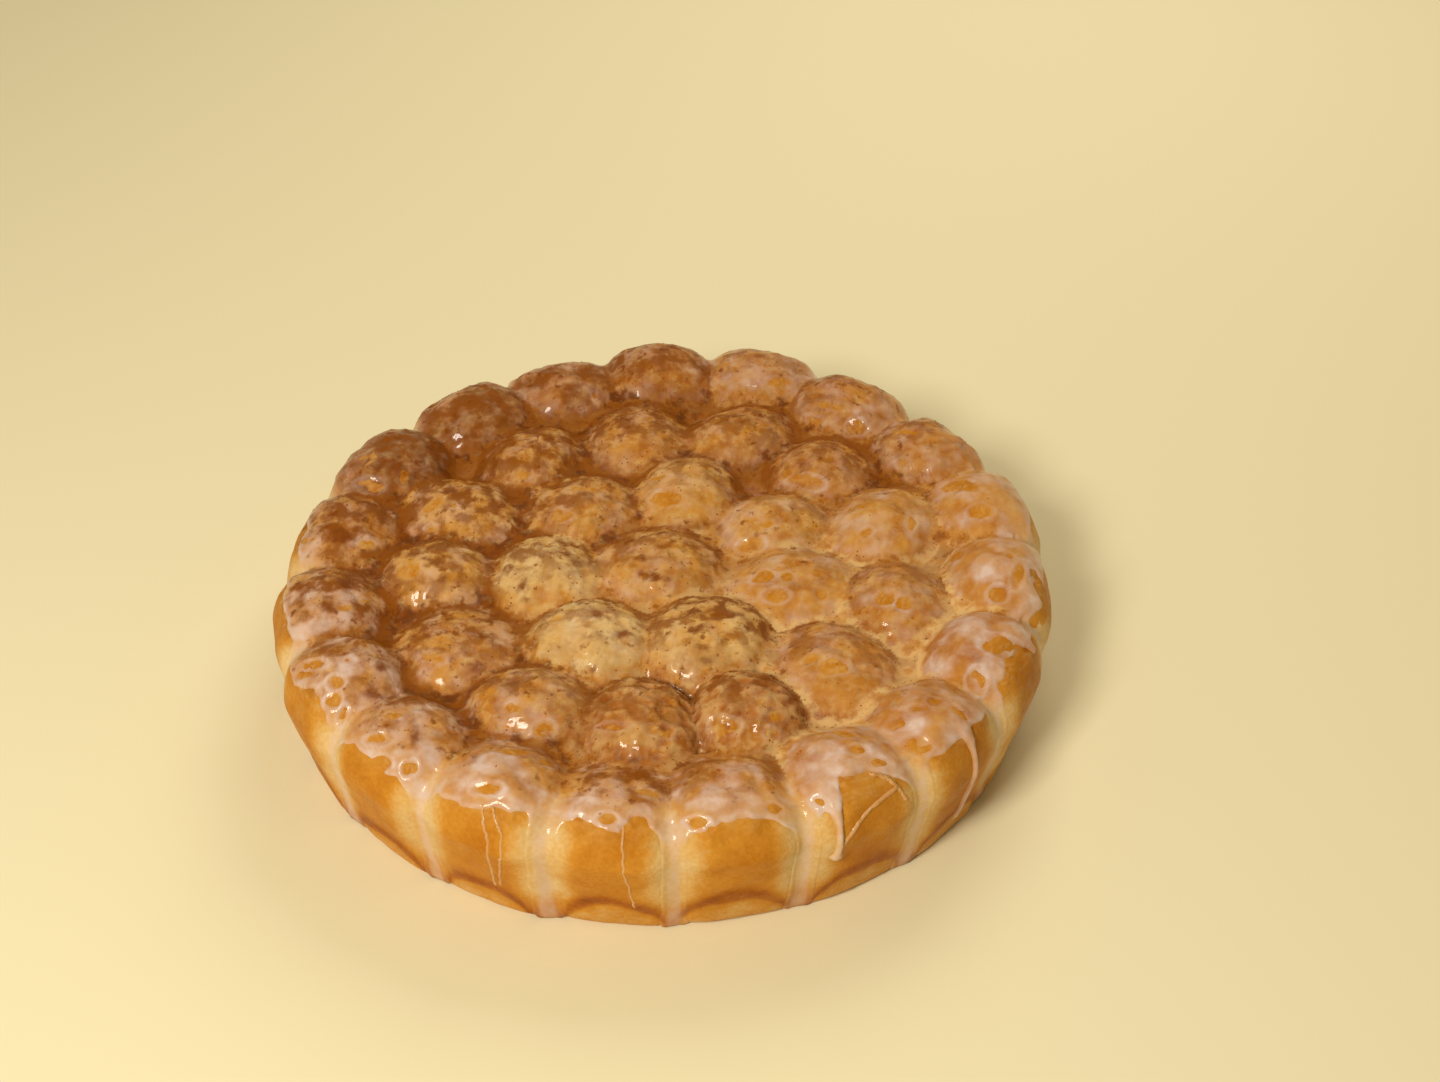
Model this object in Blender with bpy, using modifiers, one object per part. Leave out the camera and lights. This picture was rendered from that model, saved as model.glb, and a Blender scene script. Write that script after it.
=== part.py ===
"""Pull-apart bread: forty balls of dough baked against each other in a round tin, then iced.

Nineteen balls stand along the rim, thirteen and seven in two inner rings, and one in the middle.
They are one solid, with the thick icing that has run down between and over the rim's balls.
"""

import math
import random

import bmesh
import bpy
import numpy as np
from mathutils import Matrix, Vector

MM = 0.001

# Each ball's bearing in degrees (from +X towards +Y), its distance from the middle and its crown's
# height, both in millimetres.
RIM_BALLS = (
    (93, 110, 54),
    (74, 114, 52),
    (55, 111, 53),
    (35, 110, 53),
    (17, 112, 52),
    (357, 109, 54),
    (337, 109, 53),
    (318, 109, 52),
    (301, 108, 51),
    (282, 107, 49),
    (264, 108, 47),
    (246, 110, 49),
    (228, 111, 50),
    (211, 112, 52),
    (193, 110, 51),
    (173, 108, 51),
    (153, 108, 54),
    (131, 108, 52),
    (112, 108, 51),
)
OUTER_BALLS = (
    (130, 75, 50),
    (100, 72, 50),
    (72, 78, 50),
    (46, 77, 49),
    (19, 78, 49),
    (348, 77, 50),
    (319, 72, 48),
    (291, 75, 51),
    (266, 76, 50),
    (240, 79, 51),
    (212, 77, 47),
    (185, 75, 50),
    (159, 76, 50),
)
INNER_BALLS = (
    (135, 42, 50),
    (82, 41, 50),
    (35, 44, 48),
    (350, 43, 47),
    (291, 39, 51),
    (239, 45, 51),
    (188, 39, 49),
)
MIDDLE_BALLS = ((180, 3, 49),)

# The rim's balls: domes over sides that slope in with the tin to a round-edged foot. They are
# squarer towards the tin than towards the middle of the loaf.
RIM_WAIST = 32 * MM
RIM_DEPTH = 18.5 * MM
RIM_WIDTH_TO_PITCH = 1.26
OUTER_SQUARENESS = 2.8
INNER_SQUARENESS = 2.2
FOOT_DRAW = 7.5 * MM
FOOT_ROUND = 3 * MM
DOME_FULLNESS = 2.1
RIM_FACETS = (20, 12)

# The inner balls: domes pressed together, each as wide as its neighbours leave it.
INNER_WAIST = 29.5 * MM
NEIGHBOUR_REACH = 46 * MM
WIDTH_TO_SPACING = 1.17
INNER_FACETS = (16, 10)

# The crumb that the balls share, as a turned body inside their outline.
CRUMB_RADIUS = 114 * MM
CRUMB_TOP = 37.5 * MM
CRUMB_SHOULDER = 8 * MM
CRUMB_STEPS = 24

# Thick icing: a run down each seam of the rim, and one down a ball's face that ends in a bead.
SEAM_TOP = 44 * MM
SEAM_BOTTOM = 0.5 * MM
SEAM_RADIUS = 2.0 * MM
SEAM_SPREAD = 0.18
SEAM_FLARE = 1.2
FACE_BEARING = 295.5
FACE_TOP = 46 * MM
FACE_BOTTOM = 23 * MM
FACE_RADIUS = 1.5 * MM
BEAD_TO_RUN = 1.55
RUN_POINTS = 8
ICING_SINK = 0.3 * MM
START_SINK = 3 * MM
STEP_DOWN = 0.5 * MM

# How far every shape reaches under the base before it is cut flat, and what counts as no distance.
BELOW = 4 * MM
NOTHING = 1e-6

CRUST_COLOUR = (0.55, 0.25, 0.08, 1)
CRUST_ROUGHNESS = 0.45


def on_bearing(degrees, distance):
    """A point in plan."""
    angle = math.radians(degrees)
    return Vector((distance * math.cos(angle), distance * math.sin(angle), 0))


def superellipse(c, power):
    """Half-width of a rounded form of half-width 1, at the height c from its middle."""
    return max(0.0, 1 - abs(c) ** power) ** (1 / power)


def squared(c, power):
    """A cosine or sine, changed to go round a superellipse."""
    return math.copysign(abs(c) ** (2 / power), c)


def foot_draw(z):
    """How far the tin's slope and the foot's round edge draw the rim in at this height."""
    below = max(0.0, RIM_WAIST - z) / RIM_WAIST
    edge = max(0.0, 1 - max(z, 0) / FOOT_ROUND)
    return FOOT_DRAW * below + FOOT_ROUND / 2 * edge**2


def new_ball(name, facets):
    """A sphere of radius 1 as an object of its own, with so many facets round it and up it."""
    segments, rings = facets
    mesh = bpy.data.meshes.new(name)
    bm = bmesh.new()
    bmesh.ops.create_uvsphere(bm, u_segments=segments, v_segments=rings, radius=1)
    bm.to_mesh(mesh)
    bm.free()
    return bpy.data.objects.new(name, mesh)


class RimBall:
    """A ball of the rim: a dome over an upright side, squared by the balls next to it."""

    def __init__(self, number):
        self.number = number
        self.bearing, distance, crown = RIM_BALLS[number]
        self.distance = distance * MM
        self.crown = crown * MM
        self.next_bearing = RIM_BALLS[(number + 1) % len(RIM_BALLS)][0]
        before = on_bearing(RIM_BALLS[number - 1][0], self.distance)
        after = on_bearing(self.next_bearing, self.distance)
        self.half_width = (before - after).length / 4 * RIM_WIDTH_TO_PITCH

    def half_sizes(self, z):
        """The ball's depth towards the tin and its half-width at this height."""
        above = max(0.0, z - RIM_WAIST) / (self.crown - RIM_WAIST)
        size = superellipse(min(above, 1), DOME_FULLNESS)
        return size * (RIM_DEPTH - foot_draw(z)), size * self.half_width

    def side(self, bearing, z):
        """How far from the middle a level line on this bearing leaves the ball: 0 if it misses."""
        depth, width = self.half_sizes(z)
        turn = math.radians(bearing - self.bearing)
        inside = self.distance / math.cos(turn)
        if math.cos(turn) < 0 or abs(inside * math.sin(turn)) >= width:
            return 0
        outside = inside + 2 * RIM_DEPTH
        while outside - inside > NOTHING:
            middle = (inside + outside) / 2
            out = (middle * math.cos(turn) - self.distance) / depth
            across = abs(middle * math.sin(turn)) / width
            if out**OUTER_SQUARENESS + across**OUTER_SQUARENESS < 1:
                inside = middle
            else:
                outside = middle
        return inside

    def make(self):
        ball = new_ball(f"rim_ball_{self.number}", RIM_FACETS)
        for vertex in ball.data.vertices:
            a, b, c = vertex.co
            reach = math.hypot(a, b)
            z = RIM_WAIST + c * (self.crown - RIM_WAIST if c > 0 else RIM_WAIST + BELOW)
            depth, width = self.half_sizes(z)
            squareness = OUTER_SQUARENESS
            if a < 0:
                depth = depth / (1 - foot_draw(z) / RIM_DEPTH)
                squareness = INNER_SQUARENESS
            if reach < NOTHING:
                vertex.co = (0, 0, z)
            else:
                x = squared(a / reach, squareness) * depth
                y = squared(b / reach, squareness) * width
                vertex.co = (x, y, z)
        turn = Matrix.Rotation(math.radians(self.bearing), 4, "Z")
        ball.matrix_world = Matrix.Translation(on_bearing(self.bearing, self.distance)) @ turn
        return ball


def spread(centre, others):
    """The plan ellipse, as a 2 by 2 matrix, that comes half way to each neighbour of a ball."""
    rows = []
    for other in others:
        half = (other - centre) / 2
        if 0 < half.length < NEIGHBOUR_REACH / 2:
            rows.append((half.x**2, 2 * half.x * half.y, half.y**2))
    (a, b, c), *_ = np.linalg.lstsq(np.array(rows), np.ones(len(rows)), rcond=None)
    values, vectors = np.linalg.eigh(np.array(((a, b), (b, c))))
    return vectors @ np.diag(values**-0.5) @ vectors.T * WIDTH_TO_SPACING


def inner_ball(number, centre, crown, others):
    """A ball inside the rim: a dome as wide as its neighbours leave it."""
    ball = new_ball(f"inner_ball_{number}", INNER_FACETS)
    plan = spread(centre, others)
    for vertex in ball.data.vertices:
        a, b, c = vertex.co
        reach = math.hypot(a, b)
        size = superellipse(c, DOME_FULLNESS) / reach if reach > NOTHING else 0
        x, y = plan @ np.array((a * size, b * size))
        vertex.co = (x, y, INNER_WAIST + c * (crown - INNER_WAIST))
    ball.location = centre
    return ball


def crumb():
    """The turned body inside the balls, its profile run from the top down the outer side."""
    shoulder = CRUMB_RADIUS - CRUMB_SHOULDER
    profile = [(0, CRUMB_TOP), (shoulder / 2, CRUMB_TOP), (shoulder, CRUMB_TOP)]
    profile += [(CRUMB_RADIUS, CRUMB_TOP - CRUMB_SHOULDER), (CRUMB_RADIUS, -BELOW), (0, -BELOW)]
    bm = bmesh.new()
    points = [bm.verts.new((x, 0, z)) for x, z in profile]
    for upper, lower in zip(points, points[1:]):
        bm.edges.new((upper, lower))
    mesh = bpy.data.meshes.new("crumb")
    bm.to_mesh(mesh)
    bm.free()
    body = bpy.data.objects.new("crumb", mesh)
    turn = body.modifiers.new("Turn", "SCREW")
    turn.steps = turn.render_steps = CRUMB_STEPS
    turn.use_merge_vertices = True
    turn.merge_threshold = 0.0001
    return body


def icing_run(name, rim, bearing, top, bottom, radius, end_size):
    """A round run of icing down the side of the rim, half sunk in it, from as near the top as the
    balls meet."""

    def side(z):
        return max(ball.side(bearing, z) for ball in rim)

    while not side(top):
        top -= STEP_DOWN
    curve = bpy.data.curves.new(name, "CURVE")
    curve.dimensions = "3D"
    curve.bevel_depth = radius
    curve.bevel_resolution = 1
    curve.use_fill_caps = True
    run = curve.splines.new("POLY")
    run.points.add(RUN_POINTS - 1)
    for i, point in enumerate(run.points):
        down = i / (RUN_POINTS - 1)
        z = top + (bottom - top) * down
        sink = ICING_SINK if i else START_SINK
        point.co = (*on_bearing(bearing, side(z) - sink).xy, z, 1)
        point.radius = 1 + (end_size - 1) * down**3
    return bpy.data.objects.new(name, curve)


def shapes_to_join():
    """Every ball and every run of icing, in its place."""
    rim = [RimBall(number) for number in range(len(RIM_BALLS))]
    chance = random.Random(5)
    for ball in rim:
        yield ball.make()
        seam = ball.bearing - (ball.bearing - ball.next_bearing) % 360 / 2
        radius = SEAM_RADIUS * (1 + chance.uniform(-SEAM_SPREAD, SEAM_SPREAD))
        name = f"seam_{ball.number}"
        yield icing_run(name, rim, seam, SEAM_TOP, SEAM_BOTTOM, radius, SEAM_FLARE)
    yield icing_run("face", rim, FACE_BEARING, FACE_TOP, FACE_BOTTOM, FACE_RADIUS, BEAD_TO_RUN)
    inner = OUTER_BALLS + INNER_BALLS + MIDDLE_BALLS
    centres = [on_bearing(bearing, distance * MM) for bearing, distance, _ in RIM_BALLS + inner]
    for number, (bearing, distance, crown) in enumerate(inner):
        yield inner_ball(number, on_bearing(bearing, distance * MM), crown * MM, centres)


def as_mesh(obj, name):
    """The object's evaluated mesh in its place, with loose caps sewn on, in a new object."""
    graph = bpy.context.evaluated_depsgraph_get()
    mesh = bpy.data.meshes.new_from_object(obj.evaluated_get(graph))
    bm = bmesh.new()
    bm.from_mesh(mesh)
    bmesh.ops.remove_doubles(bm, verts=bm.verts, dist=NOTHING)
    bm.transform(obj.matrix_world)
    bm.to_mesh(mesh)
    bm.free()
    return bpy.data.objects.new(name, mesh)


def drop_specks(bm):
    """Removes any speck that the joining leaves beside the one large body."""
    bodies = []
    left = set(bm.verts)
    while left:
        to_visit = [left.pop()]
        body = set(to_visit)
        while to_visit:
            vertex = to_visit.pop()
            near = {edge.other_vert(vertex) for edge in vertex.link_edges} - body
            body |= near
            to_visit += near
        left -= body
        bodies.append(body)
    bodies.sort(key=len)
    for body in bodies[:-1]:
        bmesh.ops.delete(bm, geom=list(body), context="VERTS")


def stand_on_base(mesh):
    """Cuts the base flat, at z = 0, and puts the middle of the loaf's box over the origin."""
    bm = bmesh.new()
    bm.from_mesh(mesh)
    drop_specks(bm)
    everything = bm.verts[:] + bm.edges[:] + bm.faces[:]
    bmesh.ops.bisect_plane(
        bm, geom=everything, plane_co=(0, 0, 0), plane_no=(0, 0, 1), clear_inner=True
    )
    bmesh.ops.holes_fill(bm, edges=[edge for edge in bm.edges if edge.is_boundary])
    for axis in (0, 1):
        places = [vertex.co[axis] for vertex in bm.verts]
        middle = (min(places) + max(places)) / 2
        for vertex in bm.verts:
            vertex.co[axis] -= middle
    bm.to_mesh(mesh)
    bm.free()


def crust_material():
    material = bpy.data.materials.new("crust")
    material.use_nodes = True
    shader = material.node_tree.nodes["Principled BSDF"]
    shader.inputs["Base Color"].default_value = CRUST_COLOUR
    shader.inputs["Roughness"].default_value = CRUST_ROUGHNESS
    shader.inputs["Metallic"].default_value = 0
    return material


for obj in list(bpy.data.objects):
    bpy.data.objects.remove(obj)

part = bpy.data.collections.new("pull_apart_bread")
shapes = bpy.data.collections.new("shapes")
for collection in (part, shapes):
    bpy.context.scene.collection.children.link(collection)

body = crumb()
shapes.objects.link(body)
for shape in shapes_to_join():
    shapes.objects.link(shape)
bpy.context.view_layer.update()
for shape in list(shapes.objects):
    if shape != body:
        shapes.objects.link(as_mesh(shape, shape.name + "_mesh"))
        bpy.data.objects.remove(shape)
unjoined = as_mesh(body, "unjoined")
bpy.data.objects.remove(body)
part.objects.link(unjoined)

join = unjoined.modifiers.new("Join", "BOOLEAN")
join.operation = "UNION"
join.operand_type = "COLLECTION"
join.collection = shapes
join.solver = "EXACT"
bpy.context.view_layer.update()
loaf = as_mesh(unjoined, "loaf")
for obj in [unjoined, *shapes.objects]:
    bpy.data.objects.remove(obj)
bpy.data.collections.remove(shapes)

stand_on_base(loaf.data)
loaf.data.shade_smooth()
loaf.data.set_sharp_from_angle(angle=math.radians(40))
loaf.data.materials.append(crust_material())
part.objects.link(loaf)
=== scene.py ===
"""The looks of the pull-apart bread: its balls of dough, the glaze and icing over them, the spice."""

import math
import random
from collections import namedtuple

import bmesh
import bpy
import numpy as np
from mathutils import Matrix, Vector, noise
from mathutils.bvhtree import BVHTree


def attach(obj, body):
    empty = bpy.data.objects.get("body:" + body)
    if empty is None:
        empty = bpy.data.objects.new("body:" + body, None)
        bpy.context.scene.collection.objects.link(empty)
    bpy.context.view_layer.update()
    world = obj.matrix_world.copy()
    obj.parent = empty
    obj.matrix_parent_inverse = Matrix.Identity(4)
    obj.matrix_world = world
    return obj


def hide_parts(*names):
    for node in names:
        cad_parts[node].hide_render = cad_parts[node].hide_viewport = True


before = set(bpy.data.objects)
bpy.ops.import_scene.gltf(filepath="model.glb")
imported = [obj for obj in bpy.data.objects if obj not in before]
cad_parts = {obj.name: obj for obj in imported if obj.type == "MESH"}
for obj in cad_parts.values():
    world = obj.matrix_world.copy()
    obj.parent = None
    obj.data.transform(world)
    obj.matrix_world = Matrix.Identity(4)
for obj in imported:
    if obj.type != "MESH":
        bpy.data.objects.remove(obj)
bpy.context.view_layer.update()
MM = 0.001

# The dough. Forty small balls of soft sweet dough are set close together in a round tin, rise into
# each other and bake as one loaf. Nineteen stand along the tin, squared by it; the rest fill the
# middle as low domes. Each is a piece of its own here, as it is when the loaf is pulled apart.
Ball = namedtuple("Ball", "bearing distance crown bake spice glaze folds")

# Bearing in degrees from +X towards +Y, distance from the middle and crown's height in mm; then how
# dark it is baked, how much spice lies on it, how whole its glaze is and how deeply its skin is
# folded, all from 0 to 1.
RIM_BALLS = (
    Ball(93, 110, 54, 0.60, 0.65, 0.50, 0.3),
    Ball(74, 114, 52, 0.50, 0.45, 0.65, 0.3),
    Ball(55, 111, 53, 0.55, 0.50, 0.56, 0.3),
    Ball(35, 110, 53, 0.55, 0.45, 0.56, 0.3),
    Ball(17, 112, 52, 0.42, 0.15, 0.75, 0.2),
    Ball(357, 109, 54, 0.45, 0.08, 0.85, 0.1),
    Ball(337, 109, 53, 0.55, 0.05, 0.85, 0.1),
    Ball(318, 109, 52, 0.52, 0.20, 0.70, 0.1),
    Ball(301, 108, 51, 0.48, 0.15, 0.80, 0.2),
    Ball(282, 107, 49, 0.48, 0.45, 0.80, 0.2),
    Ball(264, 108, 47, 0.50, 0.65, 0.75, 0.3),
    Ball(246, 110, 49, 0.50, 0.30, 0.85, 0.2),
    Ball(228, 111, 50, 0.50, 0.45, 0.80, 0.2),
    Ball(211, 112, 52, 0.50, 0.40, 0.75, 0.2),
    Ball(193, 110, 51, 0.52, 0.60, 0.70, 0.3),
    Ball(173, 108, 51, 0.55, 0.65, 0.60, 0.3),
    Ball(153, 108, 54, 0.82, 0.62, 0.34, 0.4),
    Ball(131, 108, 52, 0.76, 0.60, 0.32, 0.4),
    Ball(112, 108, 51, 0.68, 0.60, 0.50, 0.4),
)
OUTER_BALLS = (
    Ball(130, 75, 50, 0.56, 0.65, 0.45, 0.4),
    Ball(100, 72, 50, 0.58, 0.65, 0.45, 0.4),
    Ball(72, 78, 50, 0.55, 0.65, 0.40, 0.4),
    Ball(46, 77, 49, 0.60, 0.60, 0.40, 0.3),
    Ball(19, 78, 49, 0.46, 0.26, 0.68, 0.3),
    Ball(348, 77, 50, 0.56, 0.38, 0.64, 0.3),
    Ball(319, 72, 48, 0.56, 0.38, 0.55, 0.3),
    Ball(291, 75, 51, 0.68, 0.60, 0.20, 1.0),
    Ball(266, 76, 50, 0.64, 0.50, 0.20, 1.0),
    Ball(240, 79, 51, 0.52, 0.50, 0.55, 0.5),
    Ball(212, 77, 47, 0.55, 0.55, 0.58, 0.4),
    Ball(185, 75, 50, 0.40, 0.45, 0.50, 0.5),
    Ball(159, 76, 50, 0.45, 0.60, 0.55, 0.4),
)
INNER_BALLS = (
    Ball(135, 42, 50, 0.55, 0.60, 0.45, 0.5),
    Ball(82, 41, 50, 0.36, 0.45, 0.50, 0.4),
    Ball(35, 44, 48, 0.46, 0.38, 0.55, 0.4),
    Ball(350, 43, 47, 0.50, 0.26, 0.62, 0.3),
    Ball(291, 39, 51, 0.27, 0.65, 0.35, 0.8),
    Ball(239, 45, 51, 0.16, 0.44, 0.38, 0.8),
    Ball(188, 39, 49, 0.20, 0.48, 0.30, 0.8),
    Ball(180, 3, 49, 0.46, 0.50, 0.50, 0.5),
)
CORE_BALLS = OUTER_BALLS + INNER_BALLS

# A rim ball is a dome down to its waist. Below it the tin squares its outer side and slopes in. The
# balls of the core are domes, each a little wider than its share of the space between them.
RIM_WAIST = 32 * MM
RIM_DEPTH = 18.5 * MM
RIM_WIDTH_TO_PITCH = 1.26
OUTER_SQUARENESS = 3.3
INNER_SQUARENESS = 2.2
FOOT_DRAW = 7.5 * MM
FOOT_ROUND = 3 * MM
DOME_FULLNESS = 2.1
CORE_WAIST = 29.5 * MM
NEIGHBOUR_REACH = 46 * MM
WIDTH_TO_SPACING = 1.17
# The middle of the loaf's box, seen from the middle of its rings of balls.
BOX_MIDDLE = np.array((0.28 * MM, 1.71 * MM, 0))

# How far round a ball, of the half turn from crown to base, its dome and its upright side go.
RIM_DOME_SHARE = 0.38
RIM_SIDE_SHARE = 0.40
CORE_DOME_SHARE = 0.72
CORE_DOME_TURN = math.radians(104)


def on_bearing(degrees, distance, height=0.0):
    """A point at this bearing, distance from the axis and height."""
    angle = math.radians(degrees)
    return np.array((distance * math.cos(angle), distance * math.sin(angle), height))


def step_up(values, low, high):
    """0 below low, 1 above high, and a smooth rise between."""
    share = np.clip((np.asarray(values) - low) / (high - low), 0, 1)
    return share * share * (3 - 2 * share)


def lumps(points, size, octaves=1):
    """Smooth noise of lumps about this size in metres, about -1 to 1, at each of many points."""
    points = np.asarray(points)
    places = (points.reshape(-1, 3) / size).tolist()
    heights = [noise.fractal(place, 0.9, 2.1, octaves) for place in places]
    return np.array(heights).reshape(points.shape[:-1])


def squared(c, power):
    """Cosines or sines, changed to go round a superellipse."""
    return np.copysign(np.abs(c) ** (2 / power), c)


def mesh_from(bm, name):
    """The finished shape as a mesh of this name."""
    mesh = bpy.data.meshes.new(name)
    bm.to_mesh(mesh)
    bm.free()
    return mesh


def quad_sphere(cuts):
    """A sphere of radius 1 with even quads, as a cube cut up and blown round."""
    bm = bmesh.new()
    bmesh.ops.create_cube(bm, size=2)
    bmesh.ops.subdivide_edges(bm, edges=bm.edges, cuts=cuts, use_grid_fill=True)
    for vertex in bm.verts:
        vertex.co = Vector(math.tan(c * math.pi / 4) for c in vertex.co).normalized()
    return mesh_from(bm, "quad_sphere")


def points_of(mesh):
    points = np.empty(len(mesh.vertices) * 3, np.float32)
    mesh.vertices.foreach_get("co", points)
    return points.reshape(-1, 3).astype(float)


def move_points(mesh, points):
    mesh.vertices.foreach_set("co", np.asarray(points, np.float32).ravel())
    mesh.update()


def normals_of(mesh):
    normals = np.empty(len(mesh.vertices) * 3, np.float32)
    mesh.vertex_normals.foreach_get("vector", normals)
    return normals.reshape(-1, 3).astype(float)


def paint(mesh, name, values):
    """Stores a value for each point, for the materials to read."""
    layer = mesh.attributes.new(name, "FLOAT", "POINT")
    layer.data.foreach_set("value", np.asarray(values, np.float32).ravel())


def foot_draw(z):
    """How far the tin's slope and the foot's round edge draw the rim in at these heights."""
    below = np.clip((RIM_WAIST - z) / RIM_WAIST, 0, None)
    edge = np.clip(1 - np.clip(z, 0, None) / FOOT_ROUND, 0, None)
    return FOOT_DRAW * below + FOOT_ROUND / 2 * edge**2


def rim_half_width(number):
    ball = RIM_BALLS[number]
    after = RIM_BALLS[(number + 1) % len(RIM_BALLS)]
    before = on_bearing(RIM_BALLS[number - 1].bearing, ball.distance * MM)
    gap = before - on_bearing(after.bearing, ball.distance * MM)
    return np.linalg.norm(gap) / 4 * RIM_WIDTH_TO_PITCH


def rim_form(unit, number):
    """The ball's form for points of a unit sphere, its +X towards the tin."""
    ball = RIM_BALLS[number]
    down = np.arccos(np.clip(unit[:, 2], -1, 1)) / math.pi
    turn = np.arctan2(unit[:, 1], unit[:, 0])
    over = np.clip(down / RIM_DOME_SHARE, 0, 1) * math.pi / 2
    side = np.clip((down - RIM_DOME_SHARE) / RIM_SIDE_SHARE, 0, 1)
    past_side = down - RIM_DOME_SHARE - RIM_SIDE_SHARE
    under = np.clip(past_side / (1 - RIM_DOME_SHARE - RIM_SIDE_SHARE), 0, 1)
    rise = (ball.crown * MM - RIM_WAIST) * np.clip(np.cos(over), 0, 1) ** (2 / DOME_FULLNESS)
    z = np.where(side > 0, RIM_WAIST * (1 - side), RIM_WAIST + rise)
    size = np.sin(over) ** (2 / DOME_FULLNESS) * (1 - under)
    outward = np.cos(turn) > 0
    depth = np.where(outward, RIM_DEPTH - foot_draw(z), RIM_DEPTH)
    squareness = np.where(outward, OUTER_SQUARENESS, INNER_SQUARENESS)
    x = squared(np.cos(turn), squareness) * size * depth
    y = squared(np.sin(turn), squareness) * size * rim_half_width(number)
    return np.stack((x, y, z), 1)


def core_form(unit, ball, centres):
    """A ball inside the rim: a dome that comes half way to each neighbour, and a little over."""
    centre = on_bearing(ball.bearing, ball.distance * MM)[:2]
    rows = []
    for other in centres:
        half = (other - centre) / 2
        if 0 < np.linalg.norm(half) < NEIGHBOUR_REACH / 2:
            rows.append((half[0] ** 2, 2 * half[0] * half[1], half[1] ** 2))
    (a, b, c), *_ = np.linalg.lstsq(np.array(rows), np.ones(len(rows)), rcond=None)
    values, vectors = np.linalg.eigh(np.array(((a, b), (b, c))))
    plan = vectors @ np.diag(values**-0.5) @ vectors.T * WIDTH_TO_SPACING
    down = np.arccos(np.clip(unit[:, 2], -1, 1)) / math.pi
    over = np.clip(down / CORE_DOME_SHARE, 0, 1) * CORE_DOME_TURN
    under = np.clip((down - CORE_DOME_SHARE) / (1 - CORE_DOME_SHARE), 0, 1)
    rise = np.copysign(np.abs(np.cos(over)) ** (2 / DOME_FULLNESS), np.cos(over))
    size = np.sin(over) ** (2 / DOME_FULLNESS) * (1 - under)
    turn = np.arctan2(unit[:, 1], unit[:, 0])
    flat = np.stack((np.cos(turn) * size, np.sin(turn) * size), 1) @ plan
    return np.column_stack((flat, CORE_WAIST + rise * (ball.crown * MM - CORE_WAIST)))


# The dough's skin: slow lumps, puckers where the skin folded as it rose, folds and a fine crinkle.
LUMP_SIZE = 13 * MM
LUMP_HEIGHT = 0.6 * MM
DIMPLE_SIZE = 5 * MM
DIMPLE_HEIGHT = 0.5 * MM
CRINKLE_SIZE = 2.8 * MM
CRINKLE_HEIGHT = 0.34 * MM
FOLD_SIZE = 5.5 * MM
FOLD_DEPTH = 0.8 * MM
FOLD_LENGTHENED = 0.55
PUCKERS = 8
PUCKER_DEPTH = 0.8 * MM
PUCKER_SIZE = 2.6 * MM
PUCKER_LENGTH_SHARE = 1.7
PUCKER_WIDTH_SHARE = 0.7
CROWN_REACH = 13 * MM
# How far below a ball's top its crown begins, and from where it is whole; the same for the puckers.
CROWN_FADE = (13 * MM, 7 * MM)
PUCKER_FADE = (9 * MM, 4 * MM)
BASE_FADE = 3 * MM
# The foot of each rim ball: a flatter panel pressed on the tin under a low arch, with a crease.
ARCH_HEIGHT = 12.5 * MM
ARCH_HALF_WIDTH = 15.5 * MM
ARCH_WAVE = 1.5 * MM
CREASE_DEPTH = 0.25 * MM
CREASE_WIDTH = 2.0 * MM
PANEL_DEPTH = 0.2 * MM
PANEL_EDGE = 1.5 * MM
# The panel's wrinkles run along the tin, longer than they are wide.
WRINKLE_HEIGHT = 0.2 * MM
WRINKLE_SIZE = 1 * MM
WRINKLE_LENGTH_SHARE = 9
WRINKLE_WIDTH_SHARE = 1.5


def near_top(points, top, fade):
    """How much each point counts as near this top, from 0 at the fade's first depth below it to 1
    at its second."""
    return step_up(points[:, 2], top - fade[0], top - fade[1])


def pucker(points, centre, chance, top):
    """A few dents in the skin over the crown, each longer one way than the other."""
    dents = np.zeros(len(points))
    for _ in range(PUCKERS):
        place = on_bearing(chance.uniform(0, 360), CROWN_REACH * math.sqrt(chance.uniform(0.02, 1)))
        axis = on_bearing(chance.uniform(0, 360), 1)
        size = PUCKER_SIZE * chance.uniform(0.6, 1.5)
        depth = PUCKER_DEPTH * chance.uniform(0.3, 1.0)
        away = points - (centre + place)
        along = away[:, 0] * axis[0] + away[:, 1] * axis[1]
        across = away[:, 1] * axis[0] - away[:, 0] * axis[1]
        spread = (along / (PUCKER_LENGTH_SHARE * size)) ** 2
        spread += (across / (PUCKER_WIDTH_SHARE * size)) ** 2
        dents -= depth * np.exp(-spread)
    return dents * near_top(points, top, PUCKER_FADE)


def folds_in(points, number, turn):
    """Long folds in the skin, 1 on a ridge and below 0 in the crease between two."""
    lengthways = on_bearing(turn, 1)
    along = points @ lengthways
    stretched = points - np.outer(along, lengthways) * FOLD_LENGTHENED + number
    return 1 - 2.6 * np.abs(lumps(stretched, FOLD_SIZE, 2))


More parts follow.
